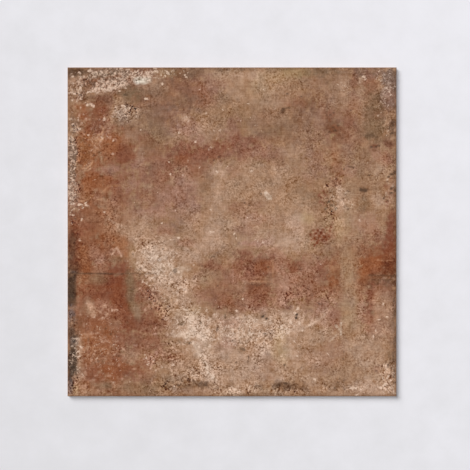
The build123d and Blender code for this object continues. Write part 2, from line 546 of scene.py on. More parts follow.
dabs("blush", 0.5, (-247, 172, 9, 3, 30), (-240, 164, 3, 9, -25), (-236, 176, 3, 8, 20),
     (-252, 178, 8, 3, 50), (-262, 168, 4, 4), (-270, 178, 3, 7), (-256, 188, 4, 3), (-232, 190, 3, 9, -15),
     (-226, 182, 3, 7, 20))
dabs("blush", 0.45, (-248, 154, 8, 3, -20), (-257, 148, 7, 3, 30), (-218, 142, 8, 3, 10),
     (-212, 168, 3, 8, 20))
dabs("blush", 0.5, (-222, 172, 4, 6), (-205, 178, 3, 6), (-266, 205, 6, 5), (-282, 184, 4, 7),
     (-278, 214, 4, 8))
dabs("umber", 0.5, (-260, 158, 5, 4), (-243, 146, 5, 5), (-272, 168, 4, 6), (-226, 160, 5, 4),
     (-252, 140, 5, 3))
scratch("peach", 0.9, 1.8, (-275, 117), (-266, 116), (-258, 121), (-254, 129))
scratch("peach", 0.6, 1.6, (-271, 111), (-262, 112), (-256, 118))
scratch("peach", 0.7, 1.6, (-250, 166), (-244, 170), (-236, 168), (-233, 174))
scratch("peach", 0.6, 1.6, (-246, 176), (-238, 178), (-234, 186), (-238, 192))
stain("pale", 0.35, -291, 152, 14, 54)
stain("umber", 0.25, -262, 292, 70, 10)
stain("umber", 0.3, -290, 288, 20, 18)
stain("ginger", 0.2, -264, 144, 24, 24)
stain("umber", 0.2, -144, 120, 26, 24)
stain("straw", 0.35, -118, 290, 36, 14)
stain("umber", 0.12, -146, 212, 40, 40)
stain("clay", 0.35, -214, 122, 34, 26)
stain("rose", 0.35, -169, 120, 26, 26)
flecks(1.3, (-264, 231, 7, 7), (-257, 232, 8, 7), (-252, 229, 5, 6), (-157, 243, 9, 4, -15))
flecks(1.2, (-167, 186, 7, 4), (-114, 127, 5, 4), (-112, 105, 4, 7), (-278, 188, 6, 5))
flecks(1.1, (-262, 254, 10, 5, 20), (-253, 256, 9, 6), (-245, 262, 12, 6, 20), (-236, 260, 8, 8),
       (-232, 270, 12, 6, 10), (-222, 264, 10, 8), (-214, 272, 14, 6), (-206, 266, 8, 7),
       (-210, 280, 10, 5), (-199, 277, 9, 5), (-190, 284, 9, 6, 30), (-182, 288, 12, 5, 20),
       (-294, 148, 6, 5), (-288, 143, 6, 4), (-295, 138, 5, 6), (-290, 132, 6, 4), (-286, 126, 5, 4),
       (-291, 283, 8, 6), (-280, 290, 7, 4), (-270, 284, 8, 5), (-262, 293, 6, 4), (-288, 252, 8, 6),
       (-276, 262, 6, 8), (-270, 272, 8, 5), (-292, 240, 6, 5), (-275, 243, 7, 6), (-268, 236, 6, 4),
       (-152, 276, 8, 6), (-128, 270, 5, 8), (-122, 284, 4, 6), (-158, 292, 8, 4), (-176, 292, 10, 4),
       (-212, 228, 10, 4), (-200, 230, 13, 4), (-188, 225, 8, 6, -30), (-179, 216, 7, 9, -40),
       (-294, 122, 6, 5), (-288, 115, 5, 5), (-293, 107, 6, 4), (-286, 103, 8, 4), (-290, 160, 7, 4))
flecks(1.0, (-238, 276, 8, 4), (-225, 280, 9, 4), (-247, 292, 12, 4), (-228, 293, 10, 4),
       (-213, 294, 12, 4), (-205, 256, 8, 5), (-196, 262, 6, 5), (-250, 284, 7, 4), (-146, 290, 10, 4),
       (-137, 293, 12, 4), (-130, 287, 4, 8), (-140, 281, 10, 4), (-217, 167, 4, 6), (-283, 238, 6, 8),
       (-218, 142, 6, 4), (-286, 205, 6, 10), (-271, 216, 5, 8), (-281, 206, 5, 9), (-274, 198, 4, 6),
       (-287, 222, 5, 6), (-262, 176, 5, 5))
flecks(0.9, (-194, 206, 9, 4), (-206, 202, 7, 4), (-232, 206, 9, 7, 20), (-226, 210, 6, 4),
       (-149, 284, 4, 7), (-133, 279, 7, 4), (-118, 161, 4, 4), (-240, 192, 5, 5), (-283, 176, 8, 8),
       (-260, 205, 7, 5), (-268, 215, 6, 5), (-276, 226, 6, 8), (-237, 172, 8, 6))
flecks(0.8, (-174, 211, 7, 9, -30), (-198, 216, 7, 5), (-208, 214, 5, 6), (-214, 222, 6, 6))
specks(1.4, (-290, 138, 5, 4), (-296, 130, 4, 5), (-291, 126, 5, 4), (-285, 135, 4, 4), (-290, 110, 4, 4))
specks(1.3, (-297, 115, 4, 6), (-286, 150, 5, 4), (-294, 155, 6, 4), (-288, 166, 6, 4), (-295, 178, 5, 5))
specks(1.1, (-252, 268, 10, 5), (-240, 268, 6, 4), (-228, 256, 8, 4), (-217, 258, 6, 5), (-200, 270, 5, 5),
       (-243, 284, 10, 4), (-232, 286, 8, 4), (-219, 287, 9, 4))
specks(1.0, (-206, 289, 9, 4), (-262, 264, 8, 6), (-270, 256, 7, 6), (-258, 280, 8, 8), (-195, 250, 8, 6))
specks(0.8, (-203, 222, 6, 4), (-192, 214, 5, 4), (-187, 208, 6, 4), (-199, 208, 5, 4))

# Upper middle: reddish brown to the left, pinkish tan to the right, a brick band below.
stain("umber", 0.55, -80, 290, 56, 24)
stain("umber", 0.2, -84, 264, 24, 40)
stain("brick", 0.3, -68, 250, 60, 44)
stain("brick", 0.2, -70, 250, 50, 40)
stain("mauve", 0.4, -46, 240, 34, 26)
stain("mauve", 0.7, -42, 268, 44, 30)
stain("brick", 0.2, -72, 240, 26, 24)
stain("umber", 0.25, -14, 240, 40, 20)
stain("tan", 0.5, -20, 283, 30, 20)
stain("pale", 0.7, 30, 286, 54, 20)
stain("straw", 0.35, 52, 266, 50, 44)
stain("olive", 0.5, -2, 294, 50, 10)
stain("tan", 0.4, 62, 250, 60, 60)
stain("khaki", 0.15, 85, 285, 60, 24)
stain("straw", 0.2, 98, 284, 44, 24)
stain("olive", 0.35, 72, 292, 26, 14)
stain("sand", 0.5, 25, 225, 90, 26)
stain("olive", 0.4, 5, 213, 120, 30)
stain("olive", 0.3, 30, 194, 100, 26)
stain("grey_olive", 0.35, -90, 238, 46, 26)
stain("rose", 0.6, -80, 186, 40, 24)
stain("tan", 0.55, -45, 187, 34, 36)
stain("tan", 0.4, -98, 172, 26, 22)
stain("mauve", 0.8, 5, 182, 26, 46)
stain("mauve", 0.4, 62, 205, 56, 34)
stain("olive", 0.4, 82, 190, 60, 50)
stain("mauve", 0.5, 22, 162, 60, 24)
stain("clay", 0.4, 60, 168, 50, 18)
stain("rose", 0.6, -65, 166, 24, 14)
stain("brick", 0.85, -90, 145, 60, 34)
stain("brick", 0.8, -42, 144, 70, 30, 6)
stain("rust", 0.5, -92, 128, 36, 22)
stain("clay", 0.6, -60, 122, 60, 24)
stain("pink", 0.4, 20, 142, 70, 26)
stain("brick", 0.5, 10, 160, 54, 34)
stain("brick", 0.35, 10, 155, 60, 32)
stain("mauve", 0.5, 28, 146, 60, 22)
stain("mauve", 0.35, 78, 143, 66, 24)
stain("mauve", 0.4, 62, 145, 40, 24)
stain("clay", 0.25, 84, 132, 50, 40)
stain("brick", 0.25, 24, 146, 34, 22)
stain("pale", 0.25, 74, 98, 30, 24)
stain("pale", 0.6, -24, 112, 36, 22)
stain("pink", 0.4, 5, 112, 26, 24)
stain("tan", 0.5, 38, 112, 40, 24)
stain("tan", 0.6, 86, 110, 24, 20)
stain("clay", 0.5, -78, 106, 40, 18)
stain("clay", 0.35, -48, 96, 24, 30)
dabs("pale", 0.6, (-85, 207, 15, 12))
dabs("umber", 0.65, (93, 221, 7, 9, -30), (100, 226, 13, 3, 15))
flecks(1.2, (10, 204, 4, 3), (16, 203, 3, 3), (-67, 164, 5, 4))
flecks(1.0, (-94, 290, 5, 4), (-88, 293, 4, 4), (-86, 286, 4, 4), (-80, 290, 4, 5), (-83, 282, 6, 4))
flecks(0.9, (-33, 186, 6, 6), (-22, 183, 7, 5), (-27, 170, 4, 6), (-38, 154, 8, 5), (-43, 150, 4, 5))
flecks(0.85, (-47, 217, 5, 6), (-17, 222, 4, 5), (57, 260, 4, 5), (-99, 196, 4, 6), (-97, 180, 6, 7),
       (-81, 129, 4, 6), (-83, 119, 4, 5), (-60, 118, 6, 5), (-96, 115, 5, 5), (-90, 104, 8, 4))
flecks(0.8, (34, 208, 6, 7), (30, 233, 8, 4), (-27, 110, 5, 5), (-9, 119, 5, 4), (35, 110, 6, 6),
       (-25, 206, 5, 4), (-75, 188, 4, 4))
flecks(0.75, (-85, 207, 13, 11), (-92, 212, 6, 6), (-80, 202, 6, 5))
flecks(0.7, (-68, 258, 6, 4), (-60, 261, 5, 4), (-95, 232, 5, 4), (-65, 231, 5, 4), (-59, 224, 5, 5))
specks(1.0, (20, 296, 16, 5), (22, 290, 6, 4), (-50, 248, 5, 4), (75, 268, 6, 4), (-30, 152, 6, 4),
       (-24, 136, 8, 4), (-22, 130, 5, 4), (-33, 131, 6, 4), (-45, 137, 7, 4), (-10, 111, 6, 5),
       (62, 110, 7, 5), (-52, 152, 4, 4), (44, 118, 5, 4), (-4, 104, 5, 4))
specks(0.9, (92, 222, 7, 8))

# Upper right: mauve browns, an umber burn, and a greyed corner.
stain("khaki", 0.8, 120, 291, 56, 16)
stain("grey_olive", 0.6, 165, 291, 60, 16)
stain("sand", 0.4, 112, 262, 40, 34)
stain("umber", 0.35, 140, 235, 32, 24)
stain("clay", 0.5, 122, 234, 40, 16)
stain("mauve", 0.25, 168, 225, 24, 50)
stain("tan", 0.4, 196, 242, 36, 30)
stain("clay", 0.6, 178, 213, 20, 18)
stain("tan", 0.6, 203, 264, 26, 34)
stain("tan", 0.4, 228, 240, 26, 20)
stain("clay", 0.4, 222, 236, 26, 36)
stain("clay", 0.7, 222, 276, 14, 40)
stain("tan", 0.5, 238, 276, 12, 30)
stain("clay", 0.8, 254, 270, 26, 64)
stain("olive", 0.8, 260, 225, 32, 70)
stain("umber", 0.22, 260, 225, 30, 70)
stain("ash", 0.55, 289, 264, 28, 80)
stain("ash", 0.3, 252, 289, 60, 22)
stain("umber", 0.2, 222, 290, 40, 20)
stain("mauve", 0.5, 287, 240, 26, 30)
stain("brick", 0.4, 214, 208, 36, 26)
stain("clay", 0.3, 206, 176, 40, 30)
stain("brick", 0.3, 215, 190, 30, 22)
stain("umber", 0.5, 187, 188, 26, 20)
stain("umber", 0.35, 187, 186, 24, 18)
stain("rust", 0.4, 187, 187, 22, 18)
stain("umber", 0.5, 257, 174, 24, 12)
stain("brick", 0.7, 259, 155, 20, 8, soft=0.4)
dabs("soot", 0.65, (254, 155, 8, 4), (262, 155, 9, 3, 10), (268, 157, 5, 3), (288, 160, 10, 5, 10),
     (282, 158, 5, 4))
stain("umber", 0.5, 293, 190, 13, 34)
stain("brick", 0.8, 288, 160, 20, 15)
stain("umber", 0.4, 289, 161, 16, 12)
stain("pink", 0.6, 284, 137, 26, 34)
stain("brick", 0.4, 287, 133, 18, 24)
stain("ginger", 0.45, 189, 150, 18, 56)
stain("clay", 0.6, 192, 114, 26, 30)
stain("tan", 0.6, 116, 143, 40, 32)
stain("mauve", 0.4, 148, 122, 34, 50)
stain("olive", 0.5, 234, 137, 26, 50)
stain("mauve", 0.4, 213, 145, 20, 40)
stain("rose", 0.6, 258, 138, 22, 26)
stain("tan", 0.6, 264, 116, 28, 22)
stain("mauve", 0.3, 238, 132, 30, 44)
stain("umber", 0.15, 276, 166, 40, 30)
stain("clay", 0.4, 266, 214, 26, 24)
stain("umber", 0.3, 291, 212, 18, 34)
stain("umber", 0.15, 216, 266, 26, 24)
stain("rose", 0.5, 214, 110, 26, 22)
stain("clay", 0.35, 218, 170, 100, 36)
stain("olive", 0.4, 266, 176, 26, 24)
stain("olive", 0.6, 258, 182, 40, 40)
stain("grey_olive", 0.4, 264, 190, 28, 60)
stain("umber", 0.2, 194, 168, 22, 24)
stain("olive", 0.25, 232, 130, 60, 60)
stain("tan", 0.4, 120, 122, 30, 22)
dabs("straw", 0.5, (184, 177, 10, 4), (181, 172, 4, 6))
dabs("umber", 0.6, (184, 190, 7, 4), (188, 184, 9, 4), (178, 182, 6, 3), (194, 194, 6, 4), (173, 178, 4, 3))
dabs("umber", 0.65, (291, 105, 8, 4), (285, 101, 6, 3), (297, 109, 4, 5), (251, 103, 8, 3),
     (214, 119, 5, 3), (220, 117, 5, 3))
dabs("umber", 0.4, (253, 176, 14, 5), (264, 173, 9, 4), (291, 180, 7, 4), (287, 190, 4, 5),
     (294, 197, 5, 6), (272, 229, 5, 4))
dabs("tan", 0.6, (286, 184, 5, 6), (283, 196, 4, 7), (288, 202, 4, 4), (297, 186, 3, 4), (288, 111, 5, 4),
     (296, 102, 5, 3))
scratch("umber", 0.35, 1.6, (173, 250), (173, 200))
flecks(1.1, (240, 283, 8, 6), (243, 278, 5, 4), (268, 292, 4, 6), (275, 271, 4, 4), (290, 250, 4, 3))
flecks(1.0, (282, 262, 4, 4), (286, 256, 4, 3), (270, 283, 5, 4), (263, 280, 4, 4), (271, 250, 4, 4))
flecks(0.9, (284, 246, 4, 4), (271, 238, 4, 4), (268, 231, 4, 5), (266, 212, 6, 5), (272, 218, 4, 4))
flecks(0.8, (280, 203, 5, 5), (284, 185, 5, 7), (281, 175, 5, 6), (232, 272, 4, 4), (193, 269, 5, 5))
flecks(0.75, (205, 266, 6, 6), (211, 262, 6, 5), (203, 258, 8, 5), (215, 255, 6, 5), (200, 273, 6, 4))
specks(1.4, (293, 194, 7, 6), (287, 189, 5, 5), (291, 180, 7, 5), (296, 201, 6, 5), (292, 105, 8, 5))
specks(1.3, (286, 100, 7, 4), (297, 110, 5, 5), (216, 118, 6, 4), (250, 103, 8, 4), (204, 114, 4, 4))
specks(1.1, (104, 226, 9, 4), (101, 252, 6, 4), (180, 213, 6, 6), (173, 213, 5, 4), (186, 217, 5, 4))
specks(1.0, (184, 190, 5, 4), (189, 186, 5, 4), (178, 183, 4, 3), (193, 193, 4, 4), (196, 182, 4, 3),
       (186, 179, 5, 3), (203, 201, 8, 4), (224, 228, 6, 4), (217, 222, 5, 4), (272, 228, 6, 4),
       (275, 220, 4, 6), (180, 118, 4, 6), (187, 110, 4, 8), (196, 104, 5, 6), (127, 247, 6, 4),
       (222, 117, 4, 5))
specks(0.8, (250, 176, 12, 5), (262, 173, 12, 4), (254, 155, 9, 6), (264, 155, 8, 4), (287, 161, 9, 7))

# Middle left: rust with a burnt rim, and the start of the pale bloom.
stain("rose", 0.6, -291, 70, 20, 60)
stain("pale", 0.3, -291, 73, 18, 40)
stain("rust", 0.7, -250, 90, 60, 34)
stain("rust", 0.25, -252, 84, 50, 30)
stain("clay", 0.45, -122, 68, 60, 44)
stain("clay", 0.35, -168, 70, 34, 30)
stain("brick", 0.35, -242, 72, 34, 20)
stain("brick", 0.25, -240, 58, 28, 40)
stain("rust", 0.25, -240, -24, 26, 26)
stain("ginger", 0.5, -266, 70, 30, 26)
stain("ginger", 0.5, -230, 76, 26, 24)
stain("ginger", 0.35, -216, 48, 60, 30)
stain("brick", 0.5, -213, 85, 30, 18)
stain("clay", 0.5, -206, 64, 36, 22)
stain("rose", 0.5, -182, 85, 26, 22)
stain("rose", 0.5, -150, 36, 50, 26)
stain("rose", 0.5, -112, 58, 30, 40)
stain("clay", 0.6, -278, 28, 40, 26)
stain("rust", 0.55, -248, 32, 46, 36)
stain("olive", 0.3, -264, 24, 34, 22)
stain("clay", 0.3, -262, 20, 50, 30)
stain("rust", 0.4, -262, -5, 50, 44)
stain("rust", 0.4, -228, -12, 34, 50)
stain("tan", 0.45, -208, 16, 60, 40)
stain("ginger", 0.5, -222, 10, 60, 40)
stain("ginger", 0.75, -203, -24, 27, 50, square=4, soft=0.4)
stain("tan", 0.3, -196, 2, 30, 20)
stain("rust", 0.6, -198, -62, 36, 24)
stain("brick", 0.9, -290, -22, 22, 96, soft=0.4)
stain("rust", 0.3, -289, 0, 20, 50)
stain("umber", 0.55, -293, -36, 16, 84, soft=0.4)
stain("brick", 0.5, -272, 8, 36, 20)
stain("deep_rust", 0.5, -270, -50, 28, 46)
stain("ochre", 0.15, -270, -50, 28, 46)
stain("rose", 0.45, -243, -58, 20, 28)
stain("pink", 0.5, -252, -35, 16, 24)
stain("rose", 0.45, -211, -37, 18, 12)
stain("olive", 0.5, -207, -50, 26, 14)
stain("brick", 0.85, -208, -70, 52, 24)
stain("umber", 0.95, -290, -70, 22, 24)
stain("umber", 0.35, -291, -30, 18, 60)
stain("brick", 0.8, -208, -92, 46, 28, square=3)
stain("deep_rust", 0.25, -208, -92, 46, 28, square=3)
stain("brick", 0.65, -228, -100, 56, 34)
stain("rust", 0.4, -244, -72, 66, 22)
stain("deep_rust", 0.25, -216, -104, 80, 50)
stain("brick", 0.25, -214, -108, 40, 90)
stain("deep_rust", 0.3, -288, -60, 22, 28)
stain("peach", 0.2, -238, 50, 26, 30)
stain("ginger", 0.5, -270, -88, 22, 22)
stain("olive", 0.6, -244, -86, 30, 20)
stain("pale", 0.7, -184, -5, 14, 24)
stain("tan", 0.5, -196, 4, 34, 18, -20)
stain("tan", 0.7, -158, 10, 60, 34)
stain("tan", 0.5, -150, -10, 60, 24)
stain("mauve", 0.4, -118, 4, 44, 22)
stain("clay", 0.35, -120, 1, 36, 22)
stain("khaki", 0.6, -178, -38, 20, 36)
stain("khaki", 0.6, -168, -58, 28, 34)
stain("olive", 0.6, -188, -86, 15, 24, soft=0.5, ragged=0.1)
stain("pale", 0.85, -147, -42, 68, 56, square=4, soft=0.4, sway=0.02)
stain("pale", 0.7, -118, -40, 50, 50)
stain("cream", 0.35, -134, -42, 54, 30)
stain("pale", 0.4, -115, -14, 40, 16)
stain("pale", 0.8, -122, -86, 56, 56)
stain("cream", 0.55, -122, -66, 46, 34)
stain("clay", 0.45, -136, -112, 26, 26)
stain("sand", 0.5, -112, -100, 50, 26)
stain("sand", 0.3, -136, -20, 60, 18)
dabs("ash", 0.5, (-133, -51, 8, 5), (-290, -74, 14, 6))
dabs("umber", 0.6, (-291, 80, 8, 4, 20), (-284, 66, 5, 5), (-295, 74, 4, 6), (-288, 58, 7, 3, -15),
     (-281, 82, 4, 4))
scratch("peach", 0.5, 1.6, (-275, 55), (-262, 60), (-252, 68))
scratch("peach", 0.45, 1.7, (-237, 72), (-231, 78), (-226, 84), (-203, 85))
scratch("peach", 0.6, 1.6, (-244, 60), (-227, 59))
scratch("pale", 0.4, 1.7, (-225, 24), (-213, 15), (-198, 8), (-187, 3))
scratch("blush", 1.0, 1.7, (-219, -42), (-214, -33), (-210, -28), (-206, -36), (-202, -44))
flecks(1.3, (-97, -11, 6, 5), (-148, -52, 4, 6), (-112, -15, 8, 4))
flecks(1.2, (-277, 50, 11, 4), (-267, 53, 8, 4, 30), (-265, 48, 9, 4, -20), (-272, 44, 4, 6),
       (-293, 46, 6, 4), (-288, 42, 5, 4))
flecks(1.1, (-294, 72, 8, 6), (-287, 68, 8, 5), (-292, 61, 6, 5), (-285, 76, 5, 6), (-294, 83, 6, 6),
       (-287, 89, 6, 5), (-292, 96, 8, 5), (-296, 54, 6, 4), (-288, 52, 8, 4), (-280, 49, 8, 4),
       (-233, 36, 9, 5), (-178, 53, 4, 4), (-128, 15, 4, 4), (-136, 72, 5, 4), (-103, 38, 4, 4))
flecks(1.0, (-296, 33, 5, 4), (-289, 31, 7, 4), (-279, 41, 5, 4), (-275, 22, 4, 8), (-278, -15, 6, 5),
       (-165, -62, 10, 5), (-172, -57, 6, 5), (-158, -70, 8, 5), (-163, -89, 5, 9), (-155, -93, 6, 7),
       (-147, -86, 5, 9), (-150, -98, 8, 4), (-128, -36, 12, 6), (-142, -28, 10, 5), (-112, -50, 10, 6))
flecks(0.8, (-187, -62, 4, 7), (-190, -52, 4, 5))
specks(1.1, (-291, 57, 8, 4), (-283, 57, 5, 5), (-296, 90, 4, 5), (-280, 64, 5, 5), (-291, 37, 9, 4),
       (-283, 45, 6, 4), (-294, 66, 4, 4), (-272, 45, 6, 4), (-284, 84, 4, 5), (-287, 24, 8, 5),
       (-169, 57, 5, 4), (-123, 15, 4, 5), (-126, -31, 5, 5), (-104, -18, 4, 12), (-180, -40, 5, 6))
specks(0.9, (-167, -68, 6, 4), (-153, -76, 6, 5), (-157, -86, 4, 6), (-169, -80, 5, 8), (-141, -92, 4, 8),
       (-177, -66, 4, 8), (-160, -55, 6, 4), (-137, -82, 4, 5), (-128, -60, 5, 4), (-108, -83, 6, 4))

# Centre: tan clouds over a brick field.
stain("rose", 0.5, -90, 78, 36, 40)
stain("mauve", 0.7, -80, 45, 44, 50)
stain("rose", 0.5, -66, 45, 16, 30)
stain("olive", 0.5, -47, 82, 22, 36)
stain("pale", 0.4, -25, 70, 26, 50)
stain("clay", 0.4, 12, 34, 34, 34)
stain("clay", 0.5, 30, 48, 60, 18)
stain("pale", 0.6, -42, 0, 28, 20)
stain("pale", 0.5, -45, -18, 36, 30)
stain("rose", 0.5, 45, 24, 50, 14)
stain("mauve", 0.5, 26, 2, 36, 18)
stain("pale", 0.25, 72, 24, 24, 24)
stain("pale", 0.25, -26, 22, 30, 24)
stain("olive", 0.3, 24, 51, 34, 20)
stain("rose", 0.9, 42, -20, 60, 14)
stain("pale", 0.6, 92, -15, 34, 30)
stain("pale", 0.4, 98, -22, 90, 26)
stain("sand", 0.7, 95, 28, 24, 40)
stain("pink", 0.35, 34, -46, 50, 20)
stain("pink", 0.3, 36, -73, 44, 16)
stain("mauve", 0.2, 96, 20, 26, 26)
stain("sand", 0.4, 14, 72, 50, 24)
stain("clay", 0.6, -82, -20, 36, 14)
stain("olive", 0.35, -92, 5, 24, 16)
stain("tan", 0.5, -70, 14, 34, 44)
stain("pale", 0.7, -72, -42, 56, 30)
stain("pale", 0.6, -34, -22, 48, 26)
stain("olive", 0.2, -14, -30, 26, 24)
stain("grey_olive", 0.3, -36, -44, 22, 9)
stain("brick", 0.6, 18, -38, 34, 22)
stain("pink", 0.6, 72, -36, 36, 14)
stain("brick", 0.65, -40, -61, 32, 18)
stain("pink", 0.4, -18, -66, 16, 20)
stain("brick", 0.2, 16, -60, 36, 26, square=3)
stain("pink", 0.4, 22, -74, 30, 16)
stain("clay", 0.35, 38, -80, 84, 30, square=3)
stain("brick", 0.6, 46, -58, 64, 34, square=3, soft=0.4)
stain("rust", 0.45, 60, -62, 34, 26, square=3, soft=0.4)
stain("pink", 0.5, 84, -62, 10, 30)
stain("pink", 0.3, 97, -68, 20, 26)
stain("cream", 0.5, -92, -70, 30, 20)
stain("pale", 0.6, -85, -90, 50, 24)
stain("olive", 0.4, -45, -84, 32, 24)
stain("rose", 0.35, 8, -85, 34, 18)
stain("brick", 0.5, 40, -82, 50, 18)
stain("umber", 0.6, 52, -97, 44, 8)
stain("pink", 0.6, 95, -84, 34, 60)
stain("pink", 0.5, 98, -104, 30, 60)
stain("rose", 0.5, 97, -108, 26, 50)
stain("blush", 0.4, 97, -110, 22, 46)
stain("tan", 0.4, 24, -98, 14, 20)
stain("rose", 0.4, -52, -104, 34, 44)
stain("straw", 0.4, -47, -97, 26, 24)
stain("rust", 0.2, 12, -58, 24, 34)
stain("brick", 0.2, 12, -64, 24, 30)
dabs("brick", 0.7, (10, -60, 8, 10), (19, -53, 5, 4), (26, -52, 4, 8), (37, -45, 8, 4), (60, -60, 8, 5))
scratch("cream", 0.9, 1.7, (60, 72), (61, 66), (66, 61), (71, 60), (70, 65), (65, 70), (61, 73))
dabs("cream", 0.8, (61, 72, 4, 3), (67, 61, 5, 3), (71, 62, 3, 4))
scratch("pale", 0.5, 1.6, (0, 21), (45, 20))
scratch("pale", 0.5, 1.6, (0, 16), (38, 16))
scratch("peach", 0.6, 1.6, (33, -90), (70, -91))
scratch("peach", 0.3, 1.6, (40, -84), (62, -83))
scratch("peach", 0.4, 1.6, (74, -52), (75, -95))
scratch("rose", 0.4, 1.6, (1, -30), (1, -95))
flecks(1.2, (-92, -82, 5, 4), (-85, -78, 4, 4), (-38, 0, 8, 4), (-70, -60, 5, 4))
flecks(1.0, (42, -14, 4, 4), (47, -17, 5, 4), (55, -20, 6, 5), (8, -12, 4, 8), (4, -3, 4, 6))
flecks(0.9, (-39, 41, 5, 6), (-12, 12, 7, 4), (27, 26, 6, 4), (-97, -64, 7, 4), (-98, -73, 8, 4))
specks(1.0, (-35, -44, 7, 4), (-27, -38, 6, 4), (-9, -37, 5, 4), (-14, -22, 4, 4), (13, -20, 7, 4),
       (66, -64, 6, 4), (57, -54, 5, 4), (36, -95, 8, 5), (48, -97, 12, 6), (72, -94, 5, 5),
       (78, -85, 4, 8), (-27, -98, 6, 5), (-55, -62, 4, 6), (7, -8, 4, 5), (-30, -70, 4, 4))
specks(0.9, (3, -17, 4, 5), (25, 53, 12, 4), (31, 48, 6, 4), (14, 60, 5, 4), (53, 70, 7, 4))

# Middle right: pale and pink clouds, a speckled brown island, and a rust corner.
stain("sand", 0.6, 138, 76, 70, 44)
stain("olive", 0.3, 134, 70, 50, 30)
stain("clay", 0.5, 186, 90, 24, 16)
stain("tan", 0.5, 222, 58, 30, 30)
stain("clay", 0.6, 175, 50, 20, 34)
stain("grey_olive", 0.5, 240, 50, 20, 26)
stain("umber", 0.7, 238, 77, 17, 9, soft=0.4, sway=0)
stain("umber", 0.3, 239, 66, 12, 16)
stain("pale", 0.6, 264, 58, 24, 26)
stain("pale", 0.8, 117, 6, 28, 50)
stain("straw", 0.5, 138, 24, 24, 24)
stain("pale", 0.35, 212, 0, 26, 110)
stain("straw", 0.25, 208, 0, 22, 110)
stain("straw", 0.3, 194, 8, 16, 40)
stain("pale", 0.8, 196, 54, 26, 44)
stain("straw", 0.3, 172, 40, 30, 60)
stain("brick", 0.3, 167, 44, 32, 56)
stain("mauve", 0.25, 142, 96, 34, 26)
stain("blush", 0.3, 120, 4, 24, 28)
stain("peach", 0.25, 194, 30, 24, 50)
stain("rose", 0.5, 248, 14, 46, 36)
stain("clay", 0.5, 282, -14, 36, 42)
stain("brick", 0.25, 264, -6, 34, 30)
stain("brick", 0.8, 293, 18, 15, 46, soft=0.6)
stain("brick", 0.85, 289, 2, 20, 36, soft=0.5)
stain("brick", 0.95, 287, -24, 25, 56, square=3, soft=0.5)
stain("deep_rust", 0.5, 288, -28, 24, 54, square=3)
stain("rust", 0.3, 284, -50, 40, 50)
stain("rose", 0.4, 287, 74, 20, 38)
stain("olive", 0.3, 217, 74, 24, 24)
stain("rust", 0.25, 240, -94, 24, 26)
stain("clay", 0.5, 163, -6, 44, 30)
stain("brick", 0.3, 163, -6, 36, 24)
stain("clay", 0.5, 226, -34, 50, 50)
stain("brick", 0.55, 256, -38, 50, 30)
stain("ginger", 0.4, 245, -35, 40, 22)
stain("rust", 0.9, 253, -62, 40, 32, square=4, soft=0.25)
stain("brick", 0.35, 258, -60, 46, 40, square=4, soft=0.4)
stain("rust", 0.35, 262, -62, 60, 50, square=3)
stain("brick", 0.5, 268, -82, 60, 22)
stain("deep_rust", 0.95, 287, -64, 30, 38, square=4, soft=0.4)
stain("umber", 0.3, 287, -66, 24, 28, square=4, soft=0.4)
stain("brick", 0.7, 112, -62, 24, 24)
stain("rust", 0.35, 112, -63, 22, 22)
stain("pink", 0.5, 137, -60, 22, 30)
stain("brick", 0.6, 164, -68, 28, 26)
stain("ginger", 0.6, 188, -66, 24, 44)
stain("sand", 0.5, 210, -60, 20, 60)
stain("khaki", 0.2, 212, -60, 22, 60)
stain("ginger", 0.3, 222, -84, 30, 50)
stain("sand", 0.4, 217, -46, 28, 56)
stain("brick", 0.4, 276, -22, 40, 36)
stain("khaki", 0.3, 146, -28, 30, 20)
stain("umber", 0.2, 166, -44, 30, 18)
stain("clay", 0.2, 172, -30, 50, 20)
stain("pink", 0.6, 114, -86, 40, 26)
stain("clay", 0.45, 156, -88, 40, 20)
stain("pink", 0.3, 140, -98, 30, 20)
stain("rust", 0.6, 184, -90, 24, 22)
stain("rust", 0.6, 241, -87, 24, 30)
stain("umber", 0.5, 268, -89, 50, 20)
stain("rust", 0.3, 262, -88, 60, 20)
stain("olive", 0.4, 276, -92, 44, 18)
stain("umber", 0.55, 270, -97, 56, 16)
stain("ash", 0.25, 288, -93, 22, 16)
dabs("deep_rust", 0.95, (143, -5, 5, 8), (150, -12, 5, 6), (152, -3, 6, 4), (156, 3, 4, 6), (159, -8, 5, 5),
     (163, -2, 5, 6), (168, -9, 7, 7), (166, 4, 5, 4), (172, -3, 4, 6), (177, -8, 6, 4), (178, 2, 5, 5),
     (148, 3, 6, 4), (155, -20, 5, 5), (150, -24, 4, 4), (158, -15, 5, 5), (172, -14, 6, 5),
     (164, -15, 4, 4), (181, 8, 4, 4), (172, 8, 4, 4), (145, -14, 4, 4))
dabs("blush", 0.55, (154, -7, 4, 3), (161, 3, 4, 3), (148, -2, 3, 4), (167, -3, 3, 3), (160, -13, 4, 3))
dabs("brick", 0.8, (160, 55, 6, 4, 30), (167, 50, 4, 5), (166, 75, 6, 4, -30), (158, 66, 4, 5),
     (163, 62, 5, 4), (168, 70, 3, 6, 20), (165, 54, 4, 4), (171, 66, 4, 3), (160, 68, 3, 5),
     (174, 74, 4, 3))
dabs("umber", 0.7, (176, 55, 5, 3, 30), (181, 50, 7, 3, -20), (179, 46, 3, 5), (184, 57, 3, 6),
     (189, 41, 5, 3, 40))
dabs("grey_olive", 0.8, (176, 54, 9, 4, 20), (183, 48, 8, 4, -15), (190, 43, 6, 4), (186, 53, 4, 7),
     (171, 43, 7, 4))
dabs("umber", 0.7, (173, 47, 5, 3), (187, 47, 3, 5, 20), (192, 50, 4, 3), (182, 39, 4, 3, -30),
     (170, 41, 3, 4))
dabs("brick", 0.7, (186, 34, 3, 5, 20), (185, 26, 3, 4), (183, 17, 3, 5, -20), (181, 11, 4, 3),
     (178, 5, 4, 4))
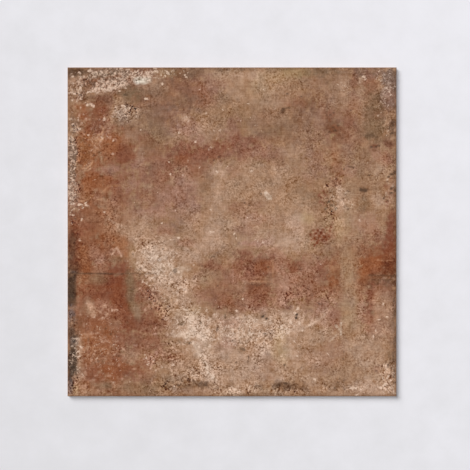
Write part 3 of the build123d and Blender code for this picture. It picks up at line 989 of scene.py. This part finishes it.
dabs("brick", 0.6, (188, 85, 5, 3), (183, 92, 6, 3, 20), (179, 98, 5, 3), (191, 97, 4, 4), (197, 104, 3, 5))
dabs("umber", 0.5, (206, 47, 3, 4), (211, 42, 4, 3), (202, 60, 3, 3), (213, 74, 5, 3), (161, 48, 4, 3))
dabs("umber", 0.75, (291, 80, 8, 3, 30), (289, 71, 5, 3, -20), (297, 76, 3, 7), (284, 92, 7, 2, 10),
     (277, 62, 5, 3, 40))
dabs("brick", 0.65, (279, 84, 6, 3, -30), (296, 65, 3, 5), (282, 55, 7, 3, 20), (290, 98, 7, 3),
     (287, 63, 3, 4, 30))
dabs("cream", 0.5, (281, 70, 4, 6, 20), (286, 88, 6, 3, -20), (293, 84, 3, 5), (283, 95, 5, 3, 30),
     (286, 76, 3, 5))
dabs("brick", 0.2, (274, -4, 5, 7), (268, -17, 6, 5), (272, -24, 6, 5), (258, -26, 8, 4))
dabs("brick", 0.5, (160, -66, 7, 6), (186, -58, 6, 8), (190, -72, 5, 6), (152, -82, 6, 6), (168, -88, 7, 5))
scratch("umber", 0.7, 1.9, (250, -79), (298, -80))
scratch("umber", 0.6, 1.7, (255, -87), (290, -88), (298, -98))
scratch("umber", 0.6, 1.7, (262, -95), (297, -95))
dabs("tan", 0.6, (279, -84, 8, 3), (289, -91, 6, 3), (295, -85, 5, 4), (283, -95, 5, 3), (270, -92, 6, 3),
     (276, -98, 4, 4))
scratch("peach", 0.35, 1.6, (266, -51), (280, -53), (292, -51))
flecks(0.8, (241, 23, 5, 4), (247, 17, 4, 6), (233, 22, 6, 5), (163, -58, 6, 5), (170, -64, 5, 4))
flecks(0.6, (280, 70, 5, 6), (286, 87, 6, 4), (293, 84, 4, 6), (283, 95, 6, 4), (291, 60, 6, 4))
flecks(0.5, (154, -7, 4, 4), (161, 1, 4, 4), (170, 1, 4, 4), (161, -12, 4, 4), (147, -8, 4, 4))
specks(1.5, (236, 77, 10, 6), (242, 75, 9, 6), (290, 78, 6, 5), (291, 71, 5, 5), (297, 76, 5, 6))
specks(1.1, (290, 91, 6, 4), (284, 84, 4, 5), (297, 66, 5, 5), (276, 60, 4, 4), (283, 56, 5, 4))
specks(1.0, (172, 38, 5, 4), (160, 48, 5, 4), (206, 48, 4, 4), (210, 43, 4, 4), (202, 60, 4, 4),
       (188, 85, 5, 5), (182, 92, 7, 5), (178, 98, 8, 4), (190, 97, 5, 5), (212, 74, 6, 4))
specks(0.9, (188, -62, 6, 6), (180, -92, 8, 6), (192, -97, 6, 5), (154, -90, 6, 4), (246, -48, 7, 4))

# Lower left: brick and rust, sooted at the rim.
stain("rust", 0.6, -248, -112, 50, 26)
stain("brick", 0.6, -242, -116, 64, 28)
stain("brick", 0.9, -201, -130, 26, 84, square=3)
stain("rust", 0.3, -202, -125, 28, 76, square=3)
stain("olive", 0.9, -185, -106, 17, 70, 5, soft=0.5, ragged=0.1)
stain("grey_olive", 0.4, -187, -100, 14, 60, 5, soft=0.6)
stain("brick", 0.65, -159, -120, 30, 44)
stain("tan", 0.8, -259, -142, 16, 34, 20)
stain("pink", 0.5, -232, -138, 30, 24)
stain("rust", 0.7, -257, -169, 56, 20)
stain("olive", 0.4, -276, -166, 34, 24)
stain("brick", 0.3, -240, -192, 40, 20)
stain("brick", 0.4, -262, -168, 34, 26)
stain("brick", 0.25, -216, -238, 36, 22)
stain("deep_rust", 0.35, -203, -108, 34, 54)
stain("rust", 0.15, -262, -118, 34, 30)
stain("deep_rust", 0.25, -216, -78, 36, 34)
stain("umber", 0.2, -146, -168, 24, 24)
stain("brick", 0.4, -242, -192, 30, 22)
stain("tan", 0.2, -240, -70, 24, 20)
stain("tan", 0.2, -290, -166, 14, 30)
stain("brick", 0.85, -167, -166, 70, 32, soft=0.4)
stain("umber", 0.15, -167, -166, 66, 32)
stain("rust", 0.3, -186, -168, 36, 24)
stain("brick", 0.5, -205, -170, 40, 20)
stain("peach", 0.5, -264, -192, 22, 16)
stain("ginger", 0.6, -244, -205, 64, 50)
stain("rust", 0.45, -240, -196, 60, 30)
stain("olive", 0.85, -175, -144, 14, 34, 14, soft=0.5, ragged=0.1)
stain("tan", 0.4, -172, -150, 13, 26, 12, soft=0.5)
stain("clay", 0.6, -195, -196, 50, 18)
stain("clay", 0.4, -158, -202, 60, 44)
stain("brick", 0.35, -172, -198, 70, 34)
stain("clay", 0.35, -142, -130, 22, 56)
stain("clay", 0.6, -145, -196, 40, 20)
stain("clay", 0.5, -205, -228, 30, 24)
stain("tan", 0.4, -182, -226, 30, 20)
stain("tan", 0.3, -214, -168, 20, 20)
stain("rose", 0.6, -150, -236, 24, 24)
stain("clay", 0.4, -164, -248, 50, 30)
stain("pink", 0.5, -135, -222, 20, 14)
stain("brick", 0.35, -118, -232, 24, 14)
stain("clay", 0.5, -120, -226, 40, 30)
stain("brick", 0.5, -210, -252, 76, 24)
stain("rust", 0.65, -206, -251, 86, 32)
stain("brick", 0.45, -258, -262, 44, 30)
stain("tan", 0.3, -282, -262, 20, 50)
stain("tan", 0.5, -266, -290, 36, 14)
stain("ginger", 0.4, -265, -282, 40, 18)
stain("grey_olive", 0.6, -232, -279, 26, 14)
stain("olive", 0.7, -158, -284, 90, 22)
stain("mauve", 0.4, -160, -266, 50, 20)
stain("brick", 0.45, -188, -262, 44, 26)
stain("umber", 0.45, -112, -267, 56, 14)
stain("umber", 0.2, -144, -286, 30, 14)
stain("tan", 0.5, -118, -246, 36, 20)
stain("olive", 0.4, -120, -264, 44, 16)
stain("umber", 0.8, -292, -105, 17, 62, soft=0.25, square=8, ragged=0.08, sway=0)
stain("soot", 0.6, -294, -104, 15, 56, soft=0.4, square=6, ragged=0.2, sway=0)
stain("ash", 0.7, -291, -150, 15, 26)
stain("soot", 0.7, -291, -187, 19, 42)
stain("ash", 0.5, -291, -203, 14, 16)
stain("soot", 0.85, -291, -234, 20, 62, soft=0.4)
stain("tan", 0.35, -278, -240, 10, 70)
stain("ash", 0.55, -294, -283, 12, 30)
stain("straw", 0.4, -284, -288, 10, 22)
stain("pale", 0.6, -279, -210, 14, 28)
dabs("blush", 0.75, (-258, -138, 9, 14, 20), (-253, -152, 7, 10), (-262, -132, 8, 6), (-232, -135, 8, 6))
dabs("blush", 0.4, (-270, -170, 5, 9), (-276, -150, 6, 5), (-246, -185, 9, 4), (-236, -200, 6, 5),
     (-262, -210, 7, 4), (-256, -232, 6, 7), (-242, -246, 7, 4), (-230, -232, 5, 5), (-218, -216, 7, 4),
     (-206, -242, 5, 6), (-188, -238, 6, 5), (-178, -250, 8, 4), (-168, -262, 7, 5), (-192, -262, 6, 4),
     (-206, -282, 8, 4), (-252, -270, 8, 5), (-284, -276, 6, 8), (-270, -292, 10, 4), (-244, -290, 6, 4),
     (-176, -222, 5, 6))
dabs("blush", 0.75, (-212, -143, 8, 4), (-219, -142, 5, 4), (-235, -157, 7, 4), (-228, -150, 6, 6),
     (-240, -146, 6, 5))
dabs("blush", 0.8, (-168, -103, 5, 4), (-160, -108, 4, 4), (-157, -118, 4, 4), (-152, -135, 5, 5),
     (-158, -142, 4, 5))
dabs("blush", 0.4, (-266, -188, 12, 6, -30), (-256, -185, 7, 6), (-278, -180, 4, 8), (-274, -191, 4, 8))
dabs("soot", 0.7, (-289, -222, 7, 4), (-286, -231, 4, 5), (-290, -246, 8, 4), (-285, -258, 4, 5),
     (-293, -212, 5, 6), (-287, -199, 3, 4))
dabs("blush", 0.4, (-272, -248, 7, 6), (-268, -257, 6, 8), (-276, -262, 5, 6), (-270, -282, 12, 8),
     (-224, -262, 8, 4))
dabs("blush", 0.35, (-215, -280, 6, 6), (-242, -255, 6, 4), (-197, -214, 9, 4, -40), (-226, -222, 7, 4),
     (-250, -218, 5, 7), (-232, -192, 8, 5), (-212, -200, 7, 4), (-246, -236, 8, 5), (-222, -240, 8, 4),
     (-200, -268, 7, 4))
dabs("blush", 0.4, (-250, -192, 12, 3, -15), (-240, -196, 10, 3, 10), (-262, -200, 3, 9),
     (-246, -206, 9, 3, 30))
dabs("blush", 0.35, (-228, -200, 12, 3, -20), (-216, -206, 9, 3, 25), (-236, -214, 10, 3, 35),
     (-224, -216, 3, 8, -20), (-252, -222, 9, 3, 40), (-262, -228, 3, 9, 15), (-208, -214, 9, 3, -30),
     (-232, -228, 10, 3, 20))
dabs("blush", 0.4, (-197, -214, 9, 3, -35), (-214, -224, 8, 3, 30), (-266, -242, 3, 9),
     (-248, -262, 8, 3, 25))
dabs("blush", 0.35, (-258, -272, 8, 3, -30), (-236, -270, 8, 3, 30), (-218, -274, 7, 3),
     (-280, -230, 4, 8, 15))
dabs("umber", 0.5, (-221, -186, 6, 5), (-262, -196, 3, 6), (-230, -176, 4, 4), (-243, -236, 6, 4),
     (-206, -226, 6, 3))
dabs("rose", 0.7, (-138, -222, 8, 12), (-140, -186, 8, 4), (-176, -206, 8, 5))
dabs("brick", 0.5, (-262, -218, 6, 8), (-238, -226, 8, 5), (-214, -232, 8, 5), (-256, -202, 7, 5),
     (-226, -208, 7, 5))
scratch("umber", 0.8, 1.8, (-300, -76), (-240, -76), (-200, -77))
scratch("umber", 0.5, 1.7, (-200, -76), (-140, -76))
flecks(1.1, (-108, -243, 6, 5), (-105, -281, 6, 4), (-187, -273, 10, 5), (-158, -224, 6, 5),
       (-118, -252, 6, 4))
flecks(1.0, (-283, -204, 8, 6), (-276, -210, 9, 7), (-280, -218, 7, 5), (-287, -212, 4, 5),
       (-278, -227, 5, 5), (-157, -229, 6, 7, 30), (-153, -240, 6, 10), (-149, -249, 4, 5),
       (-143, -235, 4, 5), (-135, -241, 5, 7, 30))
flecks(0.9, (-283, -237, 3, 7), (-275, -233, 4, 6, 20), (-278, -246, 7, 4, -30), (-282, -257, 3, 5),
       (-272, -262, 4, 6, 30), (-128, -246, 5, 5), (-138, -252, 6, 4), (-146, -228, 5, 4),
       (-132, -232, 4, 4))
specks(1.5, (-291, -215, 8, 8), (-289, -229, 5, 6), (-288, -245, 6, 8), (-297, -262, 6, 14),
       (-288, -190, 5, 8))
specks(1.4, (-103, -71, 9, 10), (21, -214, 12, 9), (30, -230, 4, 10))
specks(1.0, (-150, -104, 5, 5), (-158, -112, 5, 4), (-164, -120, 5, 6), (-149, -115, 7, 7),
       (-143, -126, 5, 5), (-147, -140, 5, 5), (-165, -132, 5, 5), (-222, -185, 6, 4), (-283, -165, 4, 8),
       (-119, -227, 8, 6))
specks(0.35, (-114, -272, 14, 3), (-130, -276, 12, 3), (-232, -282, 12, 6), (-104, -276, 6, 5),
       (-140, -278, 8, 4))

# Lower middle: the pale bloom under the brick field.
stain("pale", 0.7, -88, -125, 50, 60)
stain("pale", 0.85, -72, -176, 76, 50)
stain("cream", 0.75, -72, -176, 26, 44)
stain("pale", 0.8, -98, -146, 30, 26)
stain("cream", 0.7, -84, -188, 36, 16)
stain("sand", 0.3, -62, -146, 26, 20)
stain("cream", 0.5, -52, -185, 24, 24)
stain("clay", 0.5, -30, -115, 60, 36)
stain("brick", 0.5, 4, -139, 56, 28)
stain("straw", 0.15, -99, -146, 28, 20)
stain("khaki", 0.4, -70, -144, 24, 20)
stain("brick", 0.5, 50, -112, 44, 34, square=4, soft=0.4)
stain("rust", 0.35, 50, -108, 38, 26, square=4, soft=0.4)
stain("brick", 0.65, 51, -134, 34, 22)
stain("pink", 0.6, 90, -118, 36, 40)
stain("pale", 0.85, 25, -174, 190, 42)
stain("rose", 0.45, 0, -166, 36, 20)
stain("pink", 0.4, 34, -136, 60, 22)
stain("rose", 0.35, 2, -196, 30, 18)
stain("clay", 0.3, 0, -192, 26, 18)
stain("rose", 0.45, 50, -144, 30, 14)
stain("pink", 0.35, 22, -120, 22, 20)
stain("pale", 0.5, 74, -147, 76, 18)
stain("cream", 0.3, 46, -162, 60, 24)
stain("cream", 0.3, 106, -176, 30, 60)
stain("pale", 0.55, 25, -208, 190, 50)
stain("cream", 0.3, 24, -192, 60, 26)
stain("cream", 0.35, -46, -200, 26, 60)
stain("rose", 0.4, -8, -203, 34, 16)
stain("ash", 0.12, 40, -235, 120, 50)
stain("straw", 0.5, 90, -212, 34, 50)
stain("pale", 0.5, 44, -216, 50, 26)
stain("sand", 0.35, -82, -218, 30, 30)
stain("olive", 0.7, 18, -214, 15, 15)
stain("mauve", 0.3, -15, -208, 36, 20)
stain("pale", 0.8, -62, -214, 22, 30, 25)
stain("pale", 0.8, -49, -238, 22, 36, 15)
stain("pale", 0.8, -42, -260, 28, 24)
stain("cream", 0.4, -60, -220, 18, 30, 20)
stain("cream", 0.35, -44, -257, 24, 24)
stain("pale", 0.35, 10, -240, 150, 44)
stain("pink", 0.25, -92, -234, 36, 36)
stain("rose", 0.3, 142, -226, 30, 30)
stain("tan", 0.4, -86, -245, 44, 26)
stain("pale", 0.55, -15, -262, 190, 24)
stain("pale", 0.4, -24, -240, 22, 36)
stain("sand", 0.3, -78, -218, 28, 24)
stain("mauve", 0.2, 62, -248, 30, 40)
stain("umber", 0.5, -84, -279, 46, 16)
stain("umber", 0.55, -52, -279, 22, 12)
stain("rose", 0.2, -60, -291, 80, 12)
stain("ash", 0.3, -92, -290, 40, 12)
stain("straw", 0.3, 44, -290, 90, 12)
stain("umber", 0.4, 48, -285, 22, 12)
stain("umber", 0.75, 102, -282, 52, 18)
stain("cream", 0.4, 18, -288, 44, 14)
stain("pale", 0.7, 20, -288, 50, 16)
stain("tan", 0.5, 0, -292, 190, 14)
stain("olive", 0.5, -91, -167, 13, 9)
stain("olive", 0.4, 40, -296, 130, 8)
stain("pale", 0.2, 70, -291, 190, 12)
dabs("umber", 0.8, (31, -180, 3, 4), (-27, -177, 3, 8))
dabs("soot", 0.9, (56, -154, 7, 4, 20), (63, -158, 4, 4))
dabs("umber", 0.6, (106, -280, 12, 5), (113, -286, 9, 5), (97, -288, 8, 4))
dabs("umber", 0.5, (18, -213, 8, 6), (30, -227, 3, 6), (29, -236, 3, 5), (8, -239, 5, 5), (96, -243, 5, 4),
     (2, -199, 20, 3), (5, -186, 4, 3), (12, -178, 3, 5), (22, -192, 5, 3), (52, -180, 4, 4),
     (61, -186, 5, 3), (74, -181, 4, 3))
dabs("olive", 0.8, (-92, -166, 10, 8, 20))
dabs("grey_olive", 0.6, (-96, -200, 3, 10, 30), (-80, -202, 14, 4), (-57, -166, 3, 6), (-13, -152, 4, 14))
scratch("cream", 0.6, 2.2, (-72, -202), (-62, -220), (-50, -240), (-44, -256), (-30, -270))
scratch("umber", 0.5, 1.7, (-100, -270), (-70, -271), (-55, -275))
scratch("umber", 0.6, 1.9, (74, -283), (96, -274), (112, -280), (128, -288))
flecks(1.2, (8, -144, 4, 5), (92, -156, 5, 4), (55, -221, 6, 5), (90, -175, 6, 4), (19, -123, 4, 4))
flecks(1.1, (-73, -158, 10, 16), (-69, -176, 9, 12), (-90, -186, 12, 7), (-62, -190, 8, 8),
       (-45, -180, 9, 7))
flecks(1.0, (-42, -208, 6, 9), (-60, -210, 7, 10), (-50, -228, 7, 14, -20), (-45, -249, 8, 10),
       (-34, -262, 8, 7), (86, -143, 6, 4), (60, -163, 9, 5), (45, -160, 9, 6), (20, -186, 9, 7),
       (0, -178, 8, 7), (5, -287, 8, 6), (13, -291, 6, 5), (32, -284, 6, 8), (73, -123, 4, 4),
       (34, -168, 6, 5))
specks(1.6, (56, -154, 7, 4, 20), (63, -158, 5, 4))
specks(1.1, (-92, -169, 8, 3), (-57, -166, 5, 7), (-45, -172, 7, 4), (32, -178, 4, 6), (57, -154, 8, 4),
       (52, -182, 4, 5), (60, -185, 6, 4), (73, -180, 4, 4), (-28, -179, 4, 12), (30, -228, 4, 8),
       (27, -237, 5, 5), (7, -238, 7, 8), (95, -243, 5, 6), (-78, -203, 10, 5), (-82, -280, 10, 6),
       (-64, -274, 9, 4), (-50, -279, 9, 6), (-28, -285, 8, 4), (46, -281, 8, 5), (85, -281, 14, 4),
       (97, -276, 12, 5), (105, -283, 14, 8), (78, -287, 8, 4), (54, -287, 6, 4))
specks(1.0, (7, -130, 6, 7), (-3, -135, 6, 5), (-9, -142, 5, 12), (-12, -156, 4, 10), (5, -146, 4, 6),
       (72, -131, 4, 5), (66, -139, 4, 5), (18, -213, 9, 8), (14, -219, 6, 5), (24, -211, 5, 5),
       (-70, -210, 5, 6), (-65, -220, 4, 6), (2, -198, 18, 4), (-86, -272, 20, 4), (-98, -280, 8, 5))
specks(0.8, (-15, -172, 5, 5), (15, -175, 4, 5), (42, -178, 5, 4), (-38, -190, 5, 4), (80, -190, 5, 5))

# Lower right: calm rose and tan, with brick streaks.
stain("clay", 0.7, 140, -110, 90, 24)
stain("rust", 0.45, 190, -98, 34, 34)
stain("mauve", 0.8, 104, -138, 14, 12)
stain("pale", 0.9, 116, -160, 26, 40)
stain("pale", 0.6, 108, -200, 24, 50)
stain("brick", 0.5, 160, -131, 36, 14)
stain("mauve", 0.4, 148, -144, 30, 12)
stain("rose", 0.6, 166, -154, 34, 40)
stain("blush", 0.3, 167, -164, 26, 24)
stain("rose", 0.5, 239, -144, 16, 30)
stain("blush", 0.35, 239, -145, 14, 34)
stain("pink", 0.6, 187, -156, 22, 28)
stain("tan", 0.6, 213, -125, 24, 100)
stain("straw", 0.3, 213, -125, 22, 100)
stain("brick", 0.75, 253, -128, 13, 66, square=3, soft=0.6)
stain("brick", 0.5, 250, -146, 19, 38, soft=0.5)
stain("rust", 0.3, 249, -134, 18, 60)
stain("brick", 0.3, 252, -152, 18, 22)
stain("brick", 0.45, 274, -112, 44, 34)
stain("pink", 0.6, 272, -138, 30, 60)
stain("pink", 0.7, 264, -174, 40, 40)
stain("pink", 0.6, 238, -142, 18, 36)
stain("tan", 0.5, 273, -132, 26, 24)
stain("brick", 0.3, 252, -108, 96, 36)
stain("brick", 0.35, 266, -104, 30, 34)
stain("sand", 0.7, 214, -120, 20, 44)
stain("tan", 0.4, 238, -146, 18, 30)
stain("rose", 0.3, 190, -160, 26, 40)
stain("brick", 0.4, 266, -168, 24, 24)
stain("mauve", 0.25, 290, -160, 16, 110)
stain("pink", 0.4, 264, -156, 40, 50)
stain("peach", 0.2, 264, -142, 30, 80)
stain("tan", 0.4, 215, -122, 20, 40)
stain("pink", 0.3, 160, -120, 80, 24)
stain("tan", 0.5, 155, -192, 80, 40)
stain("sand", 0.6, 210, -196, 34, 44)
stain("mauve", 0.4, 182, -216, 46, 40)
stain("pale", 0.5, 120, -235, 34, 36)
stain("pale", 0.6, 154, -162, 36, 11, 38, soft=0.8)
stain("brick", 0.35, 190, -160, 24, 30)
stain("mauve", 0.35, 165, -245, 50, 26)
stain("pale", 0.45, 240, -215, 50, 44)
stain("sand", 0.5, 202, -250, 40, 40)
stain("tan", 0.6, 149, -266, 16, 26)
stain("ash", 0.12, 144, -236, 34, 44)
stain("pale", 0.35, 144, -232, 28, 50)
stain("cream", 0.3, 264, -266, 24, 22)
stain("pale", 0.8, 228, -286, 40, 16)
stain("pale", 0.6, 256, -280, 24, 20)
stain("grey_olive", 0.5, 288, -228, 18, 32)
stain("tan", 0.45, 278, -168, 34, 110)
stain("pale", 0.4, 252, -240, 50, 36)
stain("pale", 0.8, 262, -286, 48, 20)
stain("tan", 0.5, 190, -292, 60, 14)
stain("pale", 0.6, 283, -262, 20, 44)
stain("clay", 0.4, 264, -250, 18, 14)
stain("umber", 0.25, 195, -281, 34, 14)
stain("umber", 0.2, 128, -288, 34, 12)
stain("umber", 0.2, 296, -180, 18, 180, square=4)
dabs("soot", 0.95, (118, -151, 4, 4), (117, -157, 4, 4))
dabs("brick", 0.6, (252, -112, 9, 22), (250, -146, 10, 6), (255, -156, 5, 10), (240, -148, 5, 5),
     (237, -160, 4, 8))
dabs("umber", 0.7, (293, -232, 5, 5), (287, -240, 6, 3, 30), (291, -250, 3, 6), (284, -246, 4, 5),
     (296, -262, 4, 6))
dabs("umber", 0.5, (281, -236, 4, 4), (270, -262, 4, 3), (264, -254, 5, 3), (276, -268, 4, 4),
     (294, -276, 4, 4), (286, -228, 5, 4))
dabs("blush", 0.5, (258, -176, 3, 9), (266, -184, 3, 8), (256, -192, 4, 6), (272, -172, 3, 7),
     (268, -140, 6, 3), (274, -150, 6, 4))
dabs("brick", 0.6, (246, -128, 6, 9), (254, -134, 7, 8), (251, -164, 8, 6), (244, -112, 6, 6),
     (243, -138, 5, 5))
scratch("cream", 0.25, 2.0, (134, -174), (146, -167), (160, -159), (168, -152))
scratch("cream", 0.9, 1.8, (189, -170), (197, -180))
scratch("cream", 0.9, 1.8, (199, -166), (198, -187))
scratch("cream", 0.5, 1.7, (179, -199), (190, -188))
flecks(1.1, (108, -165, 9, 10), (114, -148, 8, 8), (122, -166, 6, 8), (103, -183, 8, 7), (112, -200, 7, 7),
       (283, -250, 7, 7), (285, -262, 8, 6), (278, -278, 9, 9), (271, -284, 6, 6), (289, -271, 5, 5),
       (228, -297, 7, 5), (222, -284, 12, 6), (236, -288, 9, 7), (282, -155, 5, 6), (271, -144, 5, 4))
flecks(1.0, (120, -139, 7, 7), (118, -226, 8, 6), (112, -240, 6, 7), (128, -180, 5, 5), (150, -270, 6, 9),
       (276, -132, 5, 6), (262, -180, 4, 11), (258, -191, 4, 9), (175, -222, 4, 6), (268, -160, 5, 4))
specks(1.6, (118, -151, 5, 5), (117, -157, 5, 5))
specks(1.2, (296, -125, 6, 8), (297, -150, 5, 20), (297, -200, 5, 30), (294, -228, 5, 8),
       (296, -255, 5, 12))
specks(1.1, (126, -247, 6, 4), (152, -250, 6, 5), (143, -256, 6, 5), (203, -231, 4, 5), (196, -268, 6, 4),
       (192, -274, 5, 5), (204, -270, 6, 4), (209, -278, 5, 5), (205, -287, 6, 4), (188, -285, 6, 4))
specks(1.0, (262, -254, 6, 4), (268, -243, 6, 6), (284, -242, 5, 5), (290, -262, 6, 5), (286, -227, 6, 5),
       (280, -236, 5, 6), (246, -217, 4, 4), (262, -283, 6, 4), (105, -140, 8, 6), (160, -131, 12, 5),
       (171, -128, 7, 5), (145, -115, 8, 5), (120, -117, 6, 5), (204, -218, 4, 6), (131, -240, 5, 4))

# The rim is painted a shade darker: a strip down part of the left side, and bands along the right, top and
# bottom.
stain("umber", 0.35, -292, 130, 16, 200, square=4)
stain("umber", 0.35, 299, 0, 12, 610, square=8)
stain("umber", 0.3, 0, 300, 610, 8, square=8)
stain("umber", 0.2, 0, -299, 610, 8, square=8)

# Crusts of salt, pits and coarse grain.
strewn(salting, 0.2, 0, 0, 700, 700)
strewn(salting, 0.85, -225, 268, 104, 28, 20)
strewn(salting, 0.85, -205, 288, 170, 22)
strewn(salting, 0.6, -282, 262, 40, 70)
strewn(salting, 0.6, -196, 216, 50, 34)
strewn(salting, 0.95, -292, 130, 16, 200)
strewn(salting, 0.65, -289, -220, 22, 80)
strewn(salting, 0.6, -125, -90, 90, 140, 20)
strewn(salting, 0.7, -70, -170, 80, 80)
strewn(salting, 0.6, 30, -185, 200, 60)
strewn(salting, 0.5, -50, -250, 60, 50)
strewn(salting, 0.6, 283, -270, 36, 60)
strewn(salting, 0.55, 278, 262, 30, 70)
strewn(salting, 0.43, -235, -215, 110, 130)
strewn(salting, 0.31, -235, -160, 120, 120)
strewn(salting, 0.42, -250, 165, 60, 150)
strewn(salting, 0.5, 190, 56, 44, 64)
strewn(salting, 0.4, 120, -210, 60, 100)
strewn(pitting, 0.8, -225, 279, 110, 36, 12)
strewn(pitting, 0.9, -291, 135, 17, 180)
strewn(pitting, 0.55, -291, -220, 18, 120)
strewn(pitting, 0.45, 288, 120, 24, 200)
strewn(pitting, 0.55, 176, 56, 36, 50)
strewn(pitting, 0.28, -112, -84, 72, 100, 20)
strewn(pitting, 0.3, 30, -185, 200, 60)
strewn(pitting, 0.45, -66, -278, 84, 18)
strewn(pitting, 0.5, 285, -250, 30, 80)
strewn(pitting, 0.45, 150, -110, 100, 60)
strewn(graining, 1.0, -225, 277, 140, 44, 10)
strewn(graining, 0.9, -194, 214, 56, 40)
strewn(graining, 1.0, -290, 132, 24, 190)
strewn(graining, 0.8, -289, -208, 24, 170)
strewn(graining, 0.68, -112, -112, 84, 136, 25)
strewn(graining, 0.45, -148, -38, 90, 60)
strewn(graining, 0.6, 30, -180, 220, 80)
strewn(graining, 0.25, -252, -20, 100, 580)
strewn(graining, 0.7, 30, -287, 290, 20)
strewn(graining, 0.3, 220, -287, 120, 20)
strewn(graining, 0.8, 287, -262, 34, 80)
strewn(graining, 0.6, -80, -250, 140, 100)
strewn(graining, 0.3, 285, 185, 40, 230)
strewn(graining, 0.3, 285, -180, 40, 150)
strewn(graining, 0.25, 60, -90, 300, 140)
strewn(graining, 0.35, 20, -250, 330, 90)
strewn(graining, 0.3, 200, -190, 120, 60)
strewn(graining, 0.4, 252, -145, 50, 60)
strewn(graining, 0.8, 182, 55, 46, 66)
strewn(graining, 0.6, 140, -120, 120, 50)

slab_mesh.attributes.new("print_colour", "FLOAT_COLOR", "POINT").data.foreach_set(
    "color", np.column_stack([painted, np.ones(len(points))]).astype(np.float32).ravel()
)
slab_mesh.attributes.new("print_marks", "FLOAT_VECTOR", "POINT").data.foreach_set(
    "vector", np.column_stack([salting, pitting, graining]).astype(np.float32).ravel()
)

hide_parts("tile")
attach(slab, "root")

# The floor
# A plain pale floor with the slight mottling of plaster and a touch of painted light. It is the stage and
# not part of the tile.

floor_half = 20.0
floor_mesh = bpy.data.meshes.new("pale_floor")
corners = [(x * floor_half, y * floor_half, 0.0) for x, y in ((-1, -1), (1, -1), (1, 1), (-1, 1))]
floor_mesh.from_pydata(corners, [], [(0, 1, 2, 3)])
floor = bpy.data.objects.new("pale_floor", floor_mesh)
bpy.context.scene.collection.objects.link(floor)

# Smooth plaster, dry and pale lavender grey, with painted light that makes it a shade brighter to the upper
# right.
plaster = bpy.data.materials.new("smooth_plaster")
plaster.use_nodes = True
tree = plaster.node_tree
tree.nodes.clear()
place = add(tree, "ShaderNodeTexCoord").outputs["Object"]
trowelled = grain(60, 4, 0.6, gain=0.06)
# Painted light: the colour grows a shade brighter to the upper right, with the trowel's mottling laid on
# top.
mottle_and_painted_light = add(tree, "ShaderNodeVectorMath", {0: place, 1: (0.34, 0.34, 0.0)}, operation="DOT_PRODUCT")
mottle_and_painted_light = add(tree, "ShaderNodeMath", {0: trowelled, 1: mottle_and_painted_light}, operation="ADD")
mottle_and_painted_light = {"Value": mottle_and_painted_light, "From Min": -0.5, "From Max": 0.5}
mottle_and_painted_light = add(tree, "ShaderNodeMapRange", mottle_and_painted_light, interpolation_type="SMOOTHSTEP")
colour = {"Factor": mottle_and_painted_light, "A": linear("#dfdee1"), "B": linear("#efeef3")}
colour = add(tree, "ShaderNodeMix", colour, data_type="RGBA")
dry = {"Base Color": colour, "Roughness": 0.9, "Specular IOR Level": 0.0}
dry = add(tree, "ShaderNodeBsdfPrincipled", dry)
add(tree, "ShaderNodeOutputMaterial", {"Surface": dry})
floor_mesh.materials.append(plaster)

# The light and the camera
# A broad soft key from the upper left throws the short shadow to the lower right, and a fill from
# straight above lifts it. The camera looks straight down on the face.


def sun(name, azimuth, elevation, width, irradiance):
    """A lamp far away: where it stands, how wide it looks, and its light on a plane that faces it."""
    lamp = bpy.data.lights.new(name, "SUN")
    lamp.energy = irradiance
    lamp.angle = math.radians(width)
    held = bpy.data.objects.new(name, lamp)
    bpy.context.scene.collection.objects.link(held)
    turn, rise = math.radians(azimuth), math.radians(elevation)
    towards = Vector((math.cos(turn) * math.cos(rise), math.sin(turn) * math.cos(rise), math.sin(rise)))
    held.rotation_euler = towards.to_track_quat("Z", "Y").to_euler()


sun("key", azimuth=135, elevation=42, width=38, irradiance=2.80)
sun("fill", azimuth=135, elevation=88, width=8, irradiance=1.12)

world = bpy.data.worlds.new("studio")
world.use_nodes = True
bpy.context.scene.world = world
tree = world.node_tree
tree.nodes.clear()
seen = add(tree, "ShaderNodeLightPath").outputs["Is Camera Ray"]
room_grey = linear("#e6e5e9")
room_light = add(tree, "ShaderNodeBackground", {"Color": room_grey, "Strength": 0.05})
backdrop = add(tree, "ShaderNodeBackground", {"Color": room_grey, "Strength": 1.0})
shown = add(tree, "ShaderNodeMixShader", {0: seen, 1: room_light, 2: backdrop})
add(tree, "ShaderNodeOutputWorld", {"Surface": shown})

photo_width = 470
tile_width = 329.1
tile_middle = (232.05, 231.9)
lens = 85.0
sensor = 36.0
pixel = side / tile_width
view_width = photo_width * pixel

camera = bpy.data.objects.new("camera", bpy.data.cameras.new("camera"))
bpy.context.scene.collection.objects.link(camera)
camera.data.lens = lens
camera.data.sensor_width = sensor
camera.location = (
    (photo_width / 2 - tile_middle[0]) * pixel,
    (tile_middle[1] - photo_width / 2) * pixel,
    high.z + view_width * lens / sensor,
)
bpy.context.scene.camera = camera
bpy.context.scene.view_settings.view_transform = "Standard"
